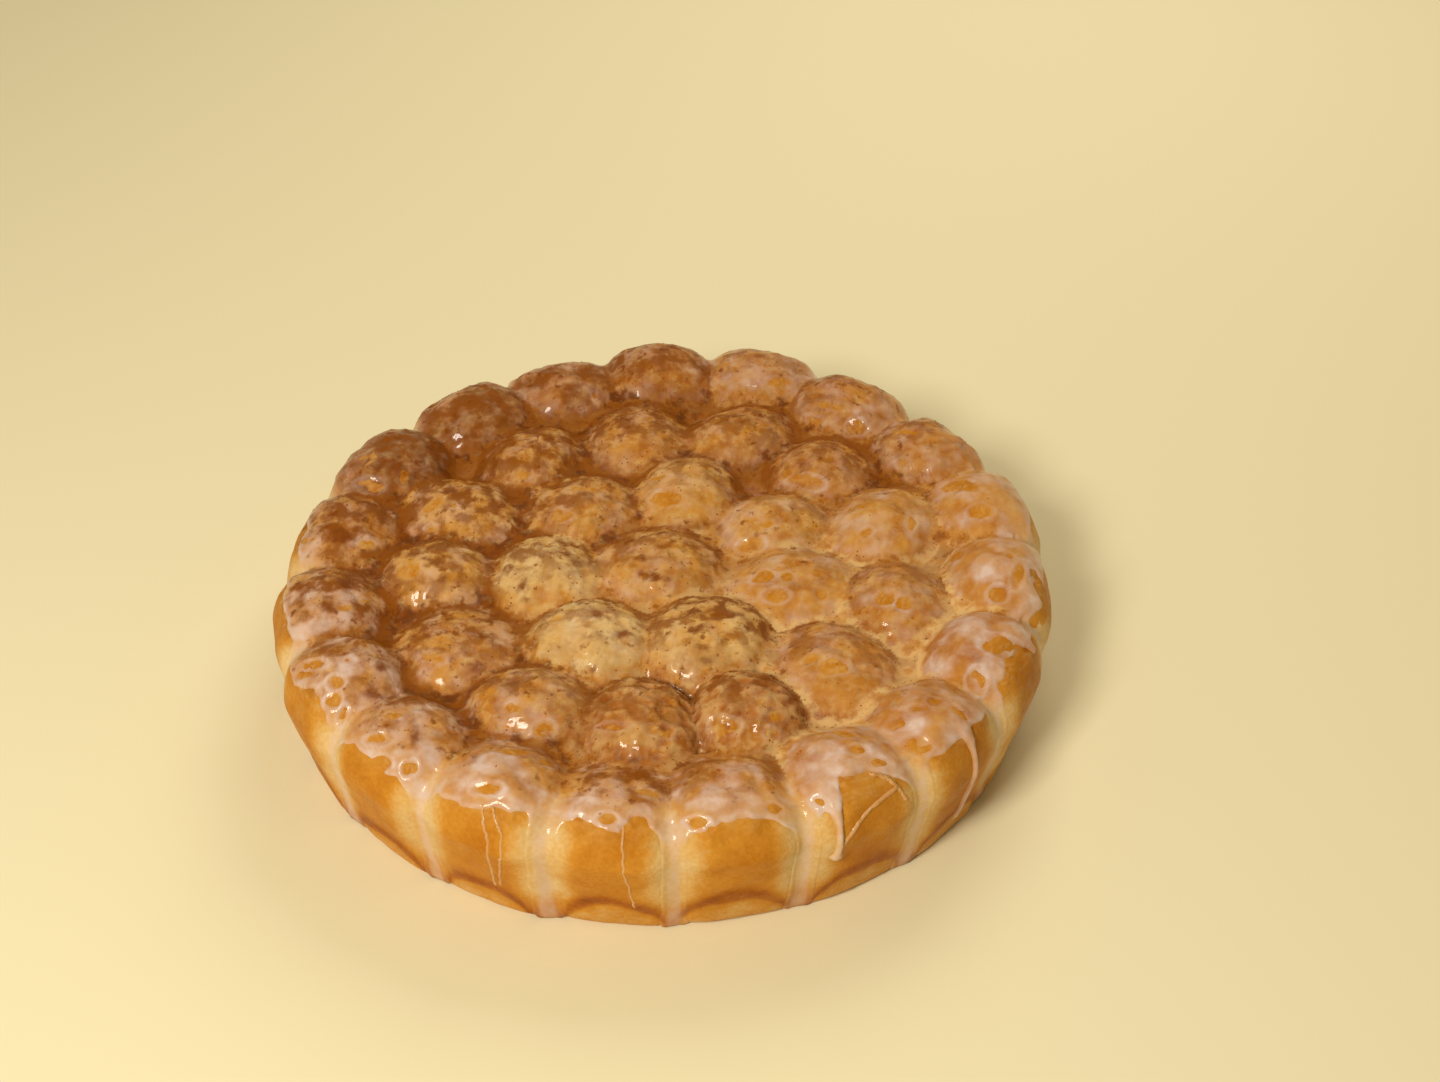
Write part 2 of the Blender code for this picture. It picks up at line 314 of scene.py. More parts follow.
def skin(mesh, points, centre, number, ball, side_detail):
    """Moves the ball's points out along their normals by the skin's relief. Gives them back, with how
    pale each is on the ridges, a painted highlight, and how deep in a crease, for painted shade."""
    chance = random.Random(100 + number)
    top = ball.crown * MM
    move_points(mesh, points)
    normals = normals_of(mesh)
    crown = near_top(points, top, CROWN_FADE)
    ridges = 1 - 2 * np.abs(lumps(points - number, CRINKLE_SIZE, 2))
    folds = folds_in(points, number, ball.bearing + chance.uniform(60, 120))
    shift = LUMP_HEIGHT * lumps(points + number, LUMP_SIZE, 2)
    shift += DIMPLE_HEIGHT * lumps(points - number, DIMPLE_SIZE, 2) * crown
    shift += CRINKLE_HEIGHT * ridges * (0.1 + 0.9 * crown) * (1 + ball.folds) * (1.2 - ball.glaze)
    shift += FOLD_DEPTH * folds * crown * ball.folds
    shift += pucker(points, centre, chance, top)
    shift += side_detail
    shift *= step_up(points[:, 2], 0, BASE_FADE)
    points = points + normals * shift[:, None]
    points[:, 2] = np.clip(points[:, 2], 0, None)
    move_points(mesh, points)
    # Paler on the ridges as a painted highlight; the crease depth is for painted shade.
    pale = crown * (step_up(ridges, 0.6, 1.0) * 0.5 + step_up(folds, 0.3, 1.0) * ball.folds)
    return points, np.clip(pale, 0, 1), crown * step_up(-folds, 0.0, 1.0) * ball.folds


def side_marks(local, number, half_width):
    """The rim ball's outward side: the relief of its foot, and how near each point is to a seam,
    how far inside the arch, how much it is on the panel and how much it faces out."""
    chance = random.Random(500 + number)
    height = ARCH_HEIGHT * chance.uniform(0.75, 1.15)
    half = ARCH_HALF_WIDTH * chance.uniform(0.85, 1.05)
    lean = chance.uniform(-2, 2) * MM
    x, y, z = local.T
    outward = step_up(x, 2 * MM, 8 * MM)
    arch = height * np.sqrt(np.clip(1 - ((y - lean) / half) ** 2, 0, 1))
    inside = arch - z + ARCH_WAVE * lumps(local + number, 10 * MM, 2)
    crease = np.exp(-((inside / CREASE_WIDTH) ** 2))
    panel = step_up(inside, 0, PANEL_EDGE)
    place = (y / WRINKLE_LENGTH_SHARE, z / WRINKLE_WIDTH_SHARE, np.full_like(z, number * MM))
    relief = WRINKLE_HEIGHT * lumps(np.stack(place, 1), WRINKLE_SIZE, 2) * panel
    relief -= CREASE_DEPTH * crease + PANEL_DEPTH * panel
    seam = np.abs(y) / (half_width / RIM_WIDTH_TO_PITCH)
    return relief * outward, seam, inside, panel * outward, outward


dough_points = []
dough_quads = []
dough_looks = []
dough_meshes = []
# The side of the loaf on which more spice fell, and how far out towards it that begins and is full.
SPICED_SIDE = on_bearing(158, 1)
SPICED_FROM = 15 * MM
SPICED_FULLY = 80 * MM


def keep_ball(mesh, points, centre, ball, bake, spice, pale):
    """Adds a finished ball to the skin that the glaze will be poured over. More spice lies towards the
    back of each crown, and on the left of the loaf."""
    behind = (points[:, 1] - centre[1]) / CROWN_REACH
    left = step_up(points @ SPICED_SIDE, SPICED_FROM, SPICED_FULLY)
    strewn = spice * (0.85 + 0.4 * np.clip(behind, -1, 1)) + 0.2 * left * (spice > 0.05)
    looks = np.empty((len(points), 4))
    looks[:, 0] = np.clip(bake, 0, 1)
    looks[:, 1] = np.clip(strewn, 0, 1)
    looks[:, 2] = pale
    looks[:, 3] = ball.glaze
    corners = np.empty(len(mesh.loops), np.int32)
    mesh.loops.foreach_get("vertex_index", corners)
    first = sum(len(points) for points in dough_points)
    dough_quads.append(corners.reshape(-1, 4) + first)
    dough_points.append(points)
    dough_looks.append(looks)
    dough_meshes.append(mesh)


# How far the tin baked the rim's side, and what makes it paler or darker: the seams, the foot's
# panel, the base's edge, and a scorched band just over the arch, alike on all the balls in front.
SIDE_BAKE = 0.49
SEAM_PALER = 0.36
PANEL_PALER = 0.18
EDGE_DARKER = 0.08
BAND_OVER_ARCH = 2.4 * MM
BAND_WIDTH = 3.6 * MM
FRONT_SCORCH = 0.30
FRONT_BEARINGS = (200, 330)
# Where a rim ball's skin turns from top to side: across the ball, and in height. And the heights
# between which the spice on its outer slope thins out.
SIDE_STARTS = (-5 * MM, 2 * MM)
SIDE_ENDS = (40 * MM, 47 * MM)
SPICE_ENDS = (44 * MM, 50 * MM)


def side_bake(points, number, seam, inside, panel):
    """How far the side of a rim ball is baked at each point."""
    z = points[:, 2]
    near_seam = step_up(seam, 0.42, 0.95) * step_up(z, 5 * MM, 17 * MM)
    scorch = random.Random(number).uniform(0.06, 0.24)
    if FRONT_BEARINGS[0] < RIM_BALLS[number].bearing < FRONT_BEARINGS[1]:
        scorch = FRONT_SCORCH
    band = np.exp(-(((inside + BAND_OVER_ARCH) / BAND_WIDTH) ** 2)) * (1 - step_up(seam, 0.85, 1.1))
    bake = SIDE_BAKE - SEAM_PALER * near_seam + scorch * band - PANEL_PALER * panel
    bake += EDGE_DARKER * (1 - step_up(z, 0, 2 * MM))
    return bake + 0.07 * lumps(points, 14 * MM, 3)


rim_sphere = quad_sphere(45)
rim_unit = points_of(rim_sphere)
for number, ball in enumerate(RIM_BALLS):
    mesh = rim_sphere.copy()
    mesh.name = f"rim_ball_{number}"
    local = rim_form(rim_unit, number)
    half_width = rim_half_width(number)
    relief, seam, inside, panel, outward = side_marks(local, number, half_width)
    angle = math.radians(ball.bearing)
    turn = np.array(Matrix.Rotation(angle, 3, "Z"))
    centre = on_bearing(ball.bearing, ball.distance * MM)
    points = local @ turn.T + centre
    points, pale, crease_shade = skin(mesh, points, centre, number, ball, relief)
    z = points[:, 2]
    side = step_up(local[:, 0], *SIDE_STARTS) * (1 - step_up(z, *SIDE_ENDS))
    # The top is darker on its inner half, and darker in the creases of its folds: painted shade.
    top_bake = ball.bake + 0.1 * (1 - outward) + 0.25 * crease_shade + 0.12 * lumps(points, 7 * MM, 3)
    bake = side * side_bake(points, number, seam, inside, panel) + (1 - side) * top_bake
    spice = ball.spice * (1 - side) * (1 - 0.8 * outward * (1 - step_up(z, *SPICE_ENDS)))
    keep_ball(mesh, points, centre, ball, bake, spice, pale * (1 - side))

VALLEY_FADE = (11 * MM, 4 * MM)
core_sphere = quad_sphere(31)
core_unit = points_of(core_sphere)
centres = [on_bearing(ball.bearing, ball.distance * MM)[:2] for ball in RIM_BALLS + CORE_BALLS]
for number, ball in enumerate(CORE_BALLS):
    mesh = core_sphere.copy()
    mesh.name = f"core_ball_{number}"
    centre = on_bearing(ball.bearing, ball.distance * MM)
    points = core_form(core_unit, ball, centres) + np.append(centre[:2], 0)
    points, pale, crease_shade = skin(mesh, points, centre, 40 + number, ball, 0)
    # A core ball is darker and more spiced low down, towards the valleys between the balls.
    low = 1 - near_top(points, ball.crown * MM, VALLEY_FADE)
    # Darker in the creases of its folds: painted shade.
    bake = ball.bake + 0.25 * crease_shade + (0.45 - 0.4 * ball.bake) * low
    bake += 0.14 * lumps(points, 7 * MM, 3)
    keep_ball(mesh, points, centre, ball, bake, ball.spice + 0.2 * low, pale)

dough_points = np.concatenate(dough_points)
dough_quads = np.concatenate(dough_quads)
dough_looks = np.concatenate(dough_looks)
# Each quad is cut in two from its first corner, as the renderer cuts it, so that the glaze follows it.
dough_halves = dough_quads[:, (0, 1, 2, 0, 2, 3)].reshape(-1, 3)
skin_tree = BVHTree.FromPolygons(dough_points.tolist(), dough_halves.tolist())

# What shows on the tops: openings where the glaze drew back from the crust, with a rim round some
# of them; melted spots of spice; and places where the icing lies thick and white. Each is an
# oval on the skin: its middle and half its length in mm, its half-width in mm, and its strength.
Oval = namedtuple("Oval", "x y z along_x along_y along_z half_width strength")
OPENINGS = (
    (-48, -110, 47, 4.1, -0.6, 0.4, 1.9, 1), (-42, -95, 47, 5.2, 0.8, -1.3, 2.2, 0.2),
    (-32, -96, 44, 2.1, 2.0, -2.5, 2.0, 0.3), (-72, -100, 45, 2.3, 0.2, -0.1, 2.3, 1),
    (-82, -91, 48, 4.1, -0.8, 1.3, 1.8, 0.6), (-81, -97, 44, 3.5, -1.3, 1.3, 2.6, 0.8),
    (-78, -83, 50, 3.5, 0.5, 0.4, 1.6, 0.2), (-98, -69, 50, 2.8, -0.2, 0.3, 2.5, 1),
    (-98, -74, 47, 2.5, -0.2, 0.3, 2.4, 1), (-95, -77, 44, 0.4, 1.6, 2.1, 1.2, 0.7),
    (-96, -61, 52, 2.1, 0.1, 0, 1.1, 0.3), (-106, -61, 50, 4.1, -1.3, 2.0, 1.7, 0.5),
    (-108, -63, 47, 4.6, -2.3, 3.3, 1.2, 0.4), (-101, -33, 49, 2.4, 0.7, -0.6, 2.0, 0.2),
    (-96, -27, 48, 2.7, 0.7, -2.0, 1.6, 0.2), (-118, 3, 47, 3.1, -1.9, 1.6, 1.5, 0.2),
    (-99, 2, 47, 3.0, 1.5, -1.1, 2.2, 0.2), (-102, 32, 48, 5.3, -0.7, 0.6, 3.0, 0.6),
    (-91, 36, 49, 0.3, 2.9, 1.6, 2.2, 0.2), (-104, 42, 52, 3.9, 0.6, 1.4, 3.5, 0.1),
    (-79, 22, 48, 3.9, 2.8, 1.6, 2.6, 0.2), (-79, 13, 44, 2.1, -0.7, 0.6, 2.0, 0.8),
    (-83, -13, 48, 4.5, -1.5, 1.3, 3.7, 0.1), (-36, 18, 48, 4.4, -0.3, 0.8, 3.0, 0.3),
    (-29, 30, 50, 5.1, -0.5, -0.1, 1.8, 0.2), (-1, 29, 47, 6.2, -1.8, 1.5, 3.4, 0.4),
    (-5, 41, 47, 4.2, -2.4, 2.6, 1.8, 0.3), (-51, 42, 47, 2.8, 0.1, 0, 2.3, 0.5),
    (38, 98, 49, 5.2, 1.1, -0.7, 2.0, 0.3), (56, 82, 50, 7.0, -3.2, 1.6, 1.5, 0.4),
    (66, 74, 46, 3.9, -0.2, 0.2, 2.9, 0.8), (50, 80, 44, 3.5, -2.3, 1.7, 2.7, 0.6),
    (47, 43, 45, 6.7, -3.0, 0.6, 2.7, 1), (82, 65, 52, 5.9, -4.0, 3.0, 1.7, 0.1),
    (81, 52, 47, 2.0, -1.1, 0.9, 1.8, 0.6), (99, 36, 50, 6.0, -4.6, 2.8, 3.8, 0.3),
    (105, 21, 50, 4.3, -0.4, 0.2, 3.0, 0.3), (67, 13, 46, 1.9, 1.4, 0.8, 1.8, 0.4),
    (82, 19, 46, 1.0, 4.5, 0.8, 1.7, 0.2), (67, 26, 48, 4.6, -1.9, 1.6, 1.8, 0.1),
    (96, 2, 46, 1.0, -3.6, 2.7, 2.6, 0.3), (107, -22, 50, 3.2, -0.1, 0.2, 3.0, 0.6),
    (114, -15, 52, 1.6, 6.0, 0.8, 2.0, 0.5), (112, -7, 54, 1.3, 0.3, -0.2, 1.6, 0.3),
    (121, -14, 48, 2.0, -5.4, -3.4, 3.4, 0.6), (120, -25, 42, 3.0, 6.2, -0.7, 2.7, 0.5),
    (105, -49, 52, 5.9, -2.3, -2.4, 4.6, 0.5), (110, -51, 48, 1.6, -5.6, -3.8, 5.6, 0.5),
    (97, -61, 47, 0.8, 3.5, 3.0, 3.0, 0.8), (83, -75, 52, 2.1, 0.3, -0.2, 1.8, 0.3),
    (90, -78, 50, 2.7, -2.4, -2.1, 1.7, 0.2), (71, -82, 49, 3.4, -0.2, 1.5, 2.0, 0.2),
    (78, -78, 51, 2.7, -0.2, 0.2, 1.2, 0.2), (77, -89, 47, 4.6, -1.2, 0.1, 2.7, 0.2),
    (59, -95, 51, 3.0, 0.3, -0.2, 1.8, 0.4), (65, -98, 49, 3.5, 0.2, -1.4, 1.7, 0.3),
    (48, -110, 44, 2.0, -0.5, 0.5, 1.4, 0.5), (47, -85, 46, 3.8, -2.5, 2.7, 1.9, 0.2),
    (55, -87, 50, 4.6, -2.2, 1.7, 1.9, 0.2), (34, -114, 45, 2.6, 0.4, -1.0, 1.6, 0.4),
    (13, -119, 44, 3.4, -0.6, 0.8, 1.7, 0.9), (17, -121, 43, 1.4, -0.1, 0.1, 1.4, 0.5),
    (-2, -109, 45, 4.4, -0.5, -1.6, 1.8, 0.2), (-13, -119, 45, 2.6, -0.5, -0.1, 1.8, 0.8),
    (-44, -78, 49, 4.0, -0.6, 0.6, 1.9, 0.3), (-44, -83, 45, 3.1, -0.5, 0.5, 2.1, 0.5),
    (-34, -83, 45, 3.2, 0.6, -0.5, 2.4, 0.7), (-71, -52, 45, 4.2, -1.1, 0.3, 1.8, 0.6),
    (1, -86, 48, 4.1, 0.4, -1.3, 2.4, 0.5), (-13, -84, 47, 3.6, -0.8, 1.3, 1.4, 0.7),
    (20, -82, 47, 4.5, -1.4, 1.4, 2.7, 0.9), (35, -79, 48, 2.7, 1.0, -0.9, 2.0, 0.4),
    (54, -55, 47, 4.9, 0, 0.1, 3.3, 0.3), (47, -51, 47, 3.0, 0.3, 0.9, 1.8, 0.2),
    (71, -24, 49, 3.4, -0.6, 0.6, 3.2, 0.2), (77, -26, 49, 3.0, 0.5, -0.4, 2.7, 0.2),
    (32, -10, 46, 4.2, -0.1, 1.2, 3.2, 0.3), (40, -11, 47, 2.6, -0.1, 0.1, 2.6, 0.3),
    (18.5, -83.5, 46, 2.6, 0.2, 0, 2.2, 1), (34, -84.5, 46, 2.2, -0.4, 0.2, 2.0, 1),
    (36, -19, 45, 4.2, -0.4, 0.4, 2.8, 0.6), (50, -8, 46, 2.3, 0.6, -0.4, 2.1, 0.1),
    (51, -17, 44, 0, 2.6, 0.8, 2.0, 0.2), (32, 16, 46, 4.3, 0.4, 0.7, 2.1, 0.3),
    (28, 10, 42, 4.6, -0.2, 1.3, 2.8, 0.8),
)
SPICE_SPOTS = (
    (-44, -70, 50, -0.4, 4.1, -0.1, 2.1, 0.8), (10, -35, 50, 3.5, 0.2, 0.3, 2.0, 1),
    (11, -42, 50, 2.8, -0.1, 0.2, 2.3, 1), (23, -35, 49, 3.4, 0.3, -1.4, 1.8, 0.8),
    (14, -49, 49, 1.9, 0.1, -0.1, 1.0, 0.8), (14, -53, 46, 1.6, 0.1, -0.1, 0.9, 0.8),
    (-4, -13, 47, 5.1, -1.4, -0.5, 1.8, 1), (-8, -5, 48, 2.3, -0.2, 0.2, 1.6, 0.9),
    (-12, -43, 48, 1.8, 0.9, -0.8, 2.0, 0.9), (-21, -56, 45, 1.5, 0.2, -0.1, 1.5, 1),
    (-21, -36, 50, 1.6, 0.2, -0.1, 1.5, 0.8), (-20, -46, 50, 3.1, 0.5, -0.3, 1.0, 0.6),
    (-51, -10, 46, 1.7, -0.8, 0.7, 2.0, 0.9), (-46, -18, 46, -0.1, 2.2, 0.7, 1.7, 0.9),
    (-33, -4, 48, 2.5, -0.9, -0.4, 2.0, 0.9), (-28, -7, 47, 3.0, 0, -1.3, 2.0, 0.8),
    (-45, -22, 44, 1.3, -0.3, 0.3, 1.3, 0.8), (-75, -11, 50, 2.9, 0, 0.1, 2.3, 0.8),
    (-72, -17, 48, 1.6, 0.1, -0.1, 1.6, 0.9), (-57, -54, 43, 2.4, 0.7, -0.5, 2.3, 0.9),
    (-65, -54, 45, 1.5, 0.1, -0.1, 1.4, 0.9), (11, 21, 40, 6.8, 1.0, -0.7, 2.7, 0.9),
    (-87, -71, 47, 1.5, -2.0, -2.2, 2.0, 0.9), (-86, -61, 49, 1.3, 1.0, -0.9, 1.6, 0.9),
    (-71, -91, 49, -0.1, 2.7, 0.7, 1.2, 0.8), (-106, -34, 50, 2.8, 0.3, -0.2, 2.0, 0.8),
    (-102, -22, 50, 2.6, 1.2, -0.9, 2.8, 0.9), (-108, 3, 50, 4.6, 0.1, 0, 3.0, 0.9),
    (-113, 12, 50, 2.6, -1.0, 0.8, 2.6, 0.7), (-84, 52, 49, 1.7, 2.2, -1.6, 2.0, 0.9),
    (-94, 38, 52, 3.0, -1.2, -1.2, 2.4, 0.9),
)
THICK_PLACES = (
    (-110, -41, 47, 6.8, 0.8, 1.9, 3.0, 1), (105, -12, 53, 6.9, -1.5, 1.4, 6.4, 0.7),
    (117, -21, 49, 0.2, 4.1, 2.5, 2.4, 0.9), (97, -41, 52, 6.4, -7.7, 4.7, 5.6, 0.7),
    (85, -53, 44, 3.7, -4.7, 4.3, 3.9, 0.9), (108, -45, 51, 0.3, 3.4, 0.3, 2.5, 0.9),
    (77, -83, 50, 0.1, 3.1, 1.1, 2.1, 0.9), (50, -95, 50, 5.8, -1.3, 1.4, 4.3, 0.8),
    (48, -103, 48, 6.3, -1.6, 1.7, 4.4, 0.6), (-47, -101, 49, 6.5, -0.4, 0.5, 5.3, 0.7),
    (-14, -112, 47, 6.4, -0.2, 0.4, 4.0, 0.6), (-76, -90, 49, -0.6, 4.9, 1.0, 2.1, 0.7),
    (-76, -97, 47, -0.3, 3.2, 1.8, 2.1, 0.8), (-94, -63, 52, 4.2, 0.5, -0.3, 4.7, 0.6),
    (15, -114, 47, 5.2, -1.1, 1.2, 3.3, 1), (28, -119, 44, 3.5, 0.5, -0.5, 1.7, 0.3),
)
# How far round an oval is looked at, and how far its edge wanders.
OVAL_MARGIN = 4 * MM
OVAL_WARP = 0.6 * MM
SPOT_RAGGED = 1.3 * MM
# The crust that shows in the openings is nearly all baked alike.
OPENING_BAKE = 0.53
OPENING_EVENNESS = 0.75


def on_skin_ovals(rows):
    """The ovals with their middles brought on to the skin: middle, half-length, half-width and
    strength, in metres."""
    found = []
    for row in rows:
        oval = Oval(*row)
        middle = np.array((oval.x, oval.y, oval.z)) * MM + BOX_MIDDLE
        middle = np.array(skin_tree.find_nearest(Vector(middle))[0])
        along = np.array((oval.along_x, oval.along_y, oval.along_z)) * MM
        found.append((middle, along, oval.half_width * MM, oval.strength))
    return found


def inside_ovals(points, ovals):
    """How far inside the nearest oval's edge each point lies, in metres, and its strength."""
    flat = points.reshape(-1, 3)
    inside = np.full(len(flat), -1.0)
    strength = np.zeros(len(flat))
    for middle, along, half_width, power in ovals:
        half_length = np.linalg.norm(along)
        away = flat - middle
        near = np.flatnonzero((np.abs(away) < half_length + half_width + OVAL_MARGIN).all(1))
        away = away[near]
        lengthways = away @ (along / half_length)
        sideways = np.sqrt(np.clip((away**2).sum(1) - lengthways**2, 0, None))
        reach = 1 - np.hypot(lengthways / half_length, sideways / half_width)
        deep = reach * min(half_width, half_length)
        better = deep > inside[near]
        inside[near[better]] = deep[better]
        strength[near[better]] = power
    return inside.reshape(points.shape[:-1]), strength.reshape(points.shape[:-1])


openings = on_skin_ovals(OPENINGS)
spice_spots = on_skin_ovals(SPICE_SPOTS)
thick_places = on_skin_ovals(THICK_PLACES)


def spotted(points):
    """How much a melted spot of spice covers each point."""
    inside, strength = inside_ovals(points, spice_spots)
    ragged = inside + SPOT_RAGGED * lumps(points, 2.2 * MM, 3)
    return step_up(ragged, -0.9 * MM, 1.1 * MM) * strength


in_opening = step_up(inside_ovals(dough_points, openings)[0], -0.5 * MM, 0.5 * MM)
dough_bare = dough_looks[:, 0].copy()
dough_looks[:, 0] += OPENING_EVENNESS * (OPENING_BAKE - dough_looks[:, 0]) * in_opening
dough_looks[:, 1] *= 1 - 0.8 * in_opening
dough_spots = spotted(dough_points)


def new_node(tree, kind, **settings):
    made = tree.nodes.new(kind)
    for name, value in settings.items():
        setattr(made, name, value)
    return made


def set_sockets(node, values):
    """Gives a node the values that are the same all over the surface."""
    for name, value in values.items():
        node.inputs[name].default_value = value


def painted(tree, name):
    """The value painted on the mesh under this name."""
    return new_node(tree, "ShaderNodeAttribute", attribute_name=name).outputs["Fac"]


def speckle(tree, size, detail=2.0, roughness=0.5):
    """Noise with features about this size in metres."""
    place = new_node(tree, "ShaderNodeTexCoord").outputs["Object"]
    made = new_node(tree, "ShaderNodeTexNoise")
    set_sockets(made, {"Scale": 1 / size, "Detail": detail, "Roughness": roughness})
    tree.links.new(place, made.inputs["Vector"])
    return made.outputs["Fac"]


def reckon(tree, operation, first, second):
    """Two values added, multiplied and so on."""
    made = new_node(tree, "ShaderNodeMath", operation=operation)
    for socket, value in zip(made.inputs, (first, second)):
        if isinstance(value, (int, float)):
            socket.default_value = value
        else:
            tree.links.new(value, socket)
    return made.outputs[0]


def plus(tree, first, second):
    return reckon(tree, "ADD", first, second)


def times(tree, first, second):
    return reckon(tree, "MULTIPLY", first, second)


def ranged(tree, value, low, high, to_low=0.0, to_high=1.0):
    """A value stretched from one range to another, smoothly and no further."""
    made = new_node(tree, "ShaderNodeMapRange", interpolation_type="SMOOTHSTEP")
    set_sockets(made, {"From Min": low, "From Max": high, "To Min": to_low, "To Max": to_high})
    tree.links.new(value, made.inputs["Value"])
    return made.outputs["Result"]


def mixed(tree, share, first, second):
    """Two colours mixed by a share."""
    made = new_node(tree, "ShaderNodeMix", data_type="RGBA")
    sockets = {"Factor": share, "A": first, "B": second}
    for name, value in sockets.items():
        kind = "Float" if name == "Factor" else "Color"
        socket = next(s for s in made.inputs if s.name == name and s.identifier.endswith(kind))
        if isinstance(value, bpy.types.NodeSocket):
            tree.links.new(value, socket)
        else:
            socket.default_value = value
    return next(s for s in made.outputs if s.identifier.endswith("Color"))


# Crust from hardly coloured to dark, by how far it is baked.
CRUST_TONES = (
    (0.00, (0.72, 0.52, 0.27, 1)),
    (0.18, (0.65, 0.385, 0.125, 1)),
    (0.38, (0.57, 0.245, 0.028, 1)),
    (0.55, (0.48, 0.175, 0.012, 1)),
    (0.75, (0.36, 0.098, 0.003, 1)),
    (1.00, (0.17, 0.040, 0.001, 1)),
)
# The painted highlight on the ridges of the skin, dried sugar on it, and melted spice as a thin film
# and as a spot.
FOLD_HIGHLIGHT = (0.68, 0.44, 0.18, 1)
SUGAR_COLOUR = (0.64, 0.40, 0.155, 1)
SPICE_FILM = (0.23, 0.058, 0.001, 1)
SPICE_SPOT = (0.19, 0.042, 0.001, 1)


def toned(tree, value, tones):
    """A value turned into a colour along a row of tones."""
    ramp = new_node(tree, "ShaderNodeValToRGB")
    stops = ramp.color_ramp.elements
    stops[0].position, stops[0].color = tones[0]
    stops[1].position, stops[1].color = tones[-1]
    for position, colour in tones[1:-1]:
        stops.new(position).color = colour
    tree.links.new(value, ramp.inputs["Fac"])
    return ramp.outputs["Color"]


def crust_colour(tree):
    """Crust coloured by the oven, paler on the ridges and folds of its skin as a painted highlight; its
    bake also carries painted shade in creases and crevices.
    """
    patches = ranged(tree, speckle(tree, 9 * MM, 3), 0.25, 0.75, -0.07, 0.07)
    grain = ranged(tree, speckle(tree, 1.3 * MM, 2), 0.25, 0.75, -0.05, 0.05)
    tone = plus(tree, plus(tree, painted(tree, "bake"), patches), grain)
    pale = times(tree, painted(tree, "pale"), 0.55)
    return mixed(tree, pale, toned(tree, tone, CRUST_TONES), FOLD_HIGHLIGHT)


def spiced(tree, colour):
    """What lies on the tops over a colour: flecks of dried sugar, a film of melted spice in clouds,
    and darker spots of it."""
    clear = ranged(tree, painted(tree, "milk"), 0.25, 0.8, 1, 0.35)
    spice = times(tree, painted(tree, "spice"), clear)
    bare = ranged(tree, painted(tree, "milk"), 0.1, 0.7, 1, 0)
    bare = times(tree, bare, ranged(tree, painted(tree, "bake"), 0.45, 0.85, 1, 0.3))
    flecks = ranged(tree, speckle(tree, 2.6 * MM, 4, 0.62), 0.50, 0.66)
    flecks = times(tree, flecks, ranged(tree, spice, 0.0, 0.25, 0, 0.6))
    colour = mixed(tree, times(tree, flecks, bare), colour, SUGAR_COLOUR)
    film = plus(tree, speckle(tree, 7 * MM, 5, 0.60), times(tree, spice, 0.06))
    film = times(tree, ranged(tree, film, 0.44, 0.63), ranged(tree, spice, 0.0, 0.7, 0, 0.92))
    colour = mixed(tree, film, colour, SPICE_FILM)
    spots = plus(tree, speckle(tree, 4 * MM, 4, 0.56), times(tree, spice, 0.08))
    spots = times(tree, ranged(tree, spots, 0.62, 0.74), ranged(tree, spice, 0.05, 0.3, 0, 0.8))
    uneven = ranged(tree, speckle(tree, 1.6 * MM, 4, 0.7), 0.3, 0.55, 0.55, 0.95)
    melted = times(tree, painted(tree, "spot"), uneven)
    return mixed(tree, reckon(tree, "MAXIMUM", spots, melted), colour, SPICE_SPOT)


def bumped(tree, shader, height, depth):
    """Fine relief too small for the mesh."""
    bump = new_node(tree, "ShaderNodeBump")
    set_sockets(bump, {"Distance": depth, "Strength": 0.6})
    tree.links.new(height, bump.inputs["Height"])
    tree.links.new(bump.outputs["Normal"], shader.inputs["Normal"])


def new_material(name):
    material = bpy.data.materials.new(name)
    material.use_nodes = True
    return material, material.node_tree, material.node_tree.nodes["Principled BSDF"]


CRUST_FINISH = {
    "Specular IOR Level": 0.16,
    "Specular Tint": (1.0, 0.72, 0.40, 1),
    "Subsurface Weight": 0.08,
    "Subsurface Radius": (1.0, 0.4, 0.1),
    "Subsurface Scale": 2 * MM,
}
crust, tree, shader = new_material("crust")
tree.links.new(spiced(tree, crust_colour(tree)), shader.inputs["Base Color"])
tree.links.new(ranged(tree, speckle(tree, 4 * MM, 3), 0.3, 0.7, 0.40, 0.58), shader.inputs["Roughness"])
bumped(tree, shader, speckle(tree, 0.9 * MM, 3, 0.6), 0.3 * MM)
set_sockets(shader, CRUST_FINISH)


def place_piece(mesh, material):
    """Puts a finished mesh in the loaf as a piece, over the middle of the loaf's box."""
    mesh.transform(Matrix.Translation(-Vector(BOX_MIDDLE)))
    mesh.shade_smooth()
    mesh.materials.append(material)
    piece = bpy.data.objects.new(mesh.name, mesh)
    bpy.context.scene.collection.objects.link(piece)
    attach(piece, "root")
    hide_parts("loaf")


first = 0
for mesh in dough_meshes:
    these = slice(first, first + len(mesh.vertices))
    paint(mesh, "bake", dough_looks[these, 0])
    paint(mesh, "spice", dough_looks[these, 1])
    paint(mesh, "pale", dough_looks[these, 2])
    paint(mesh, "spot", dough_spots[these])
    place_piece(mesh, crust)
    first = these.stop

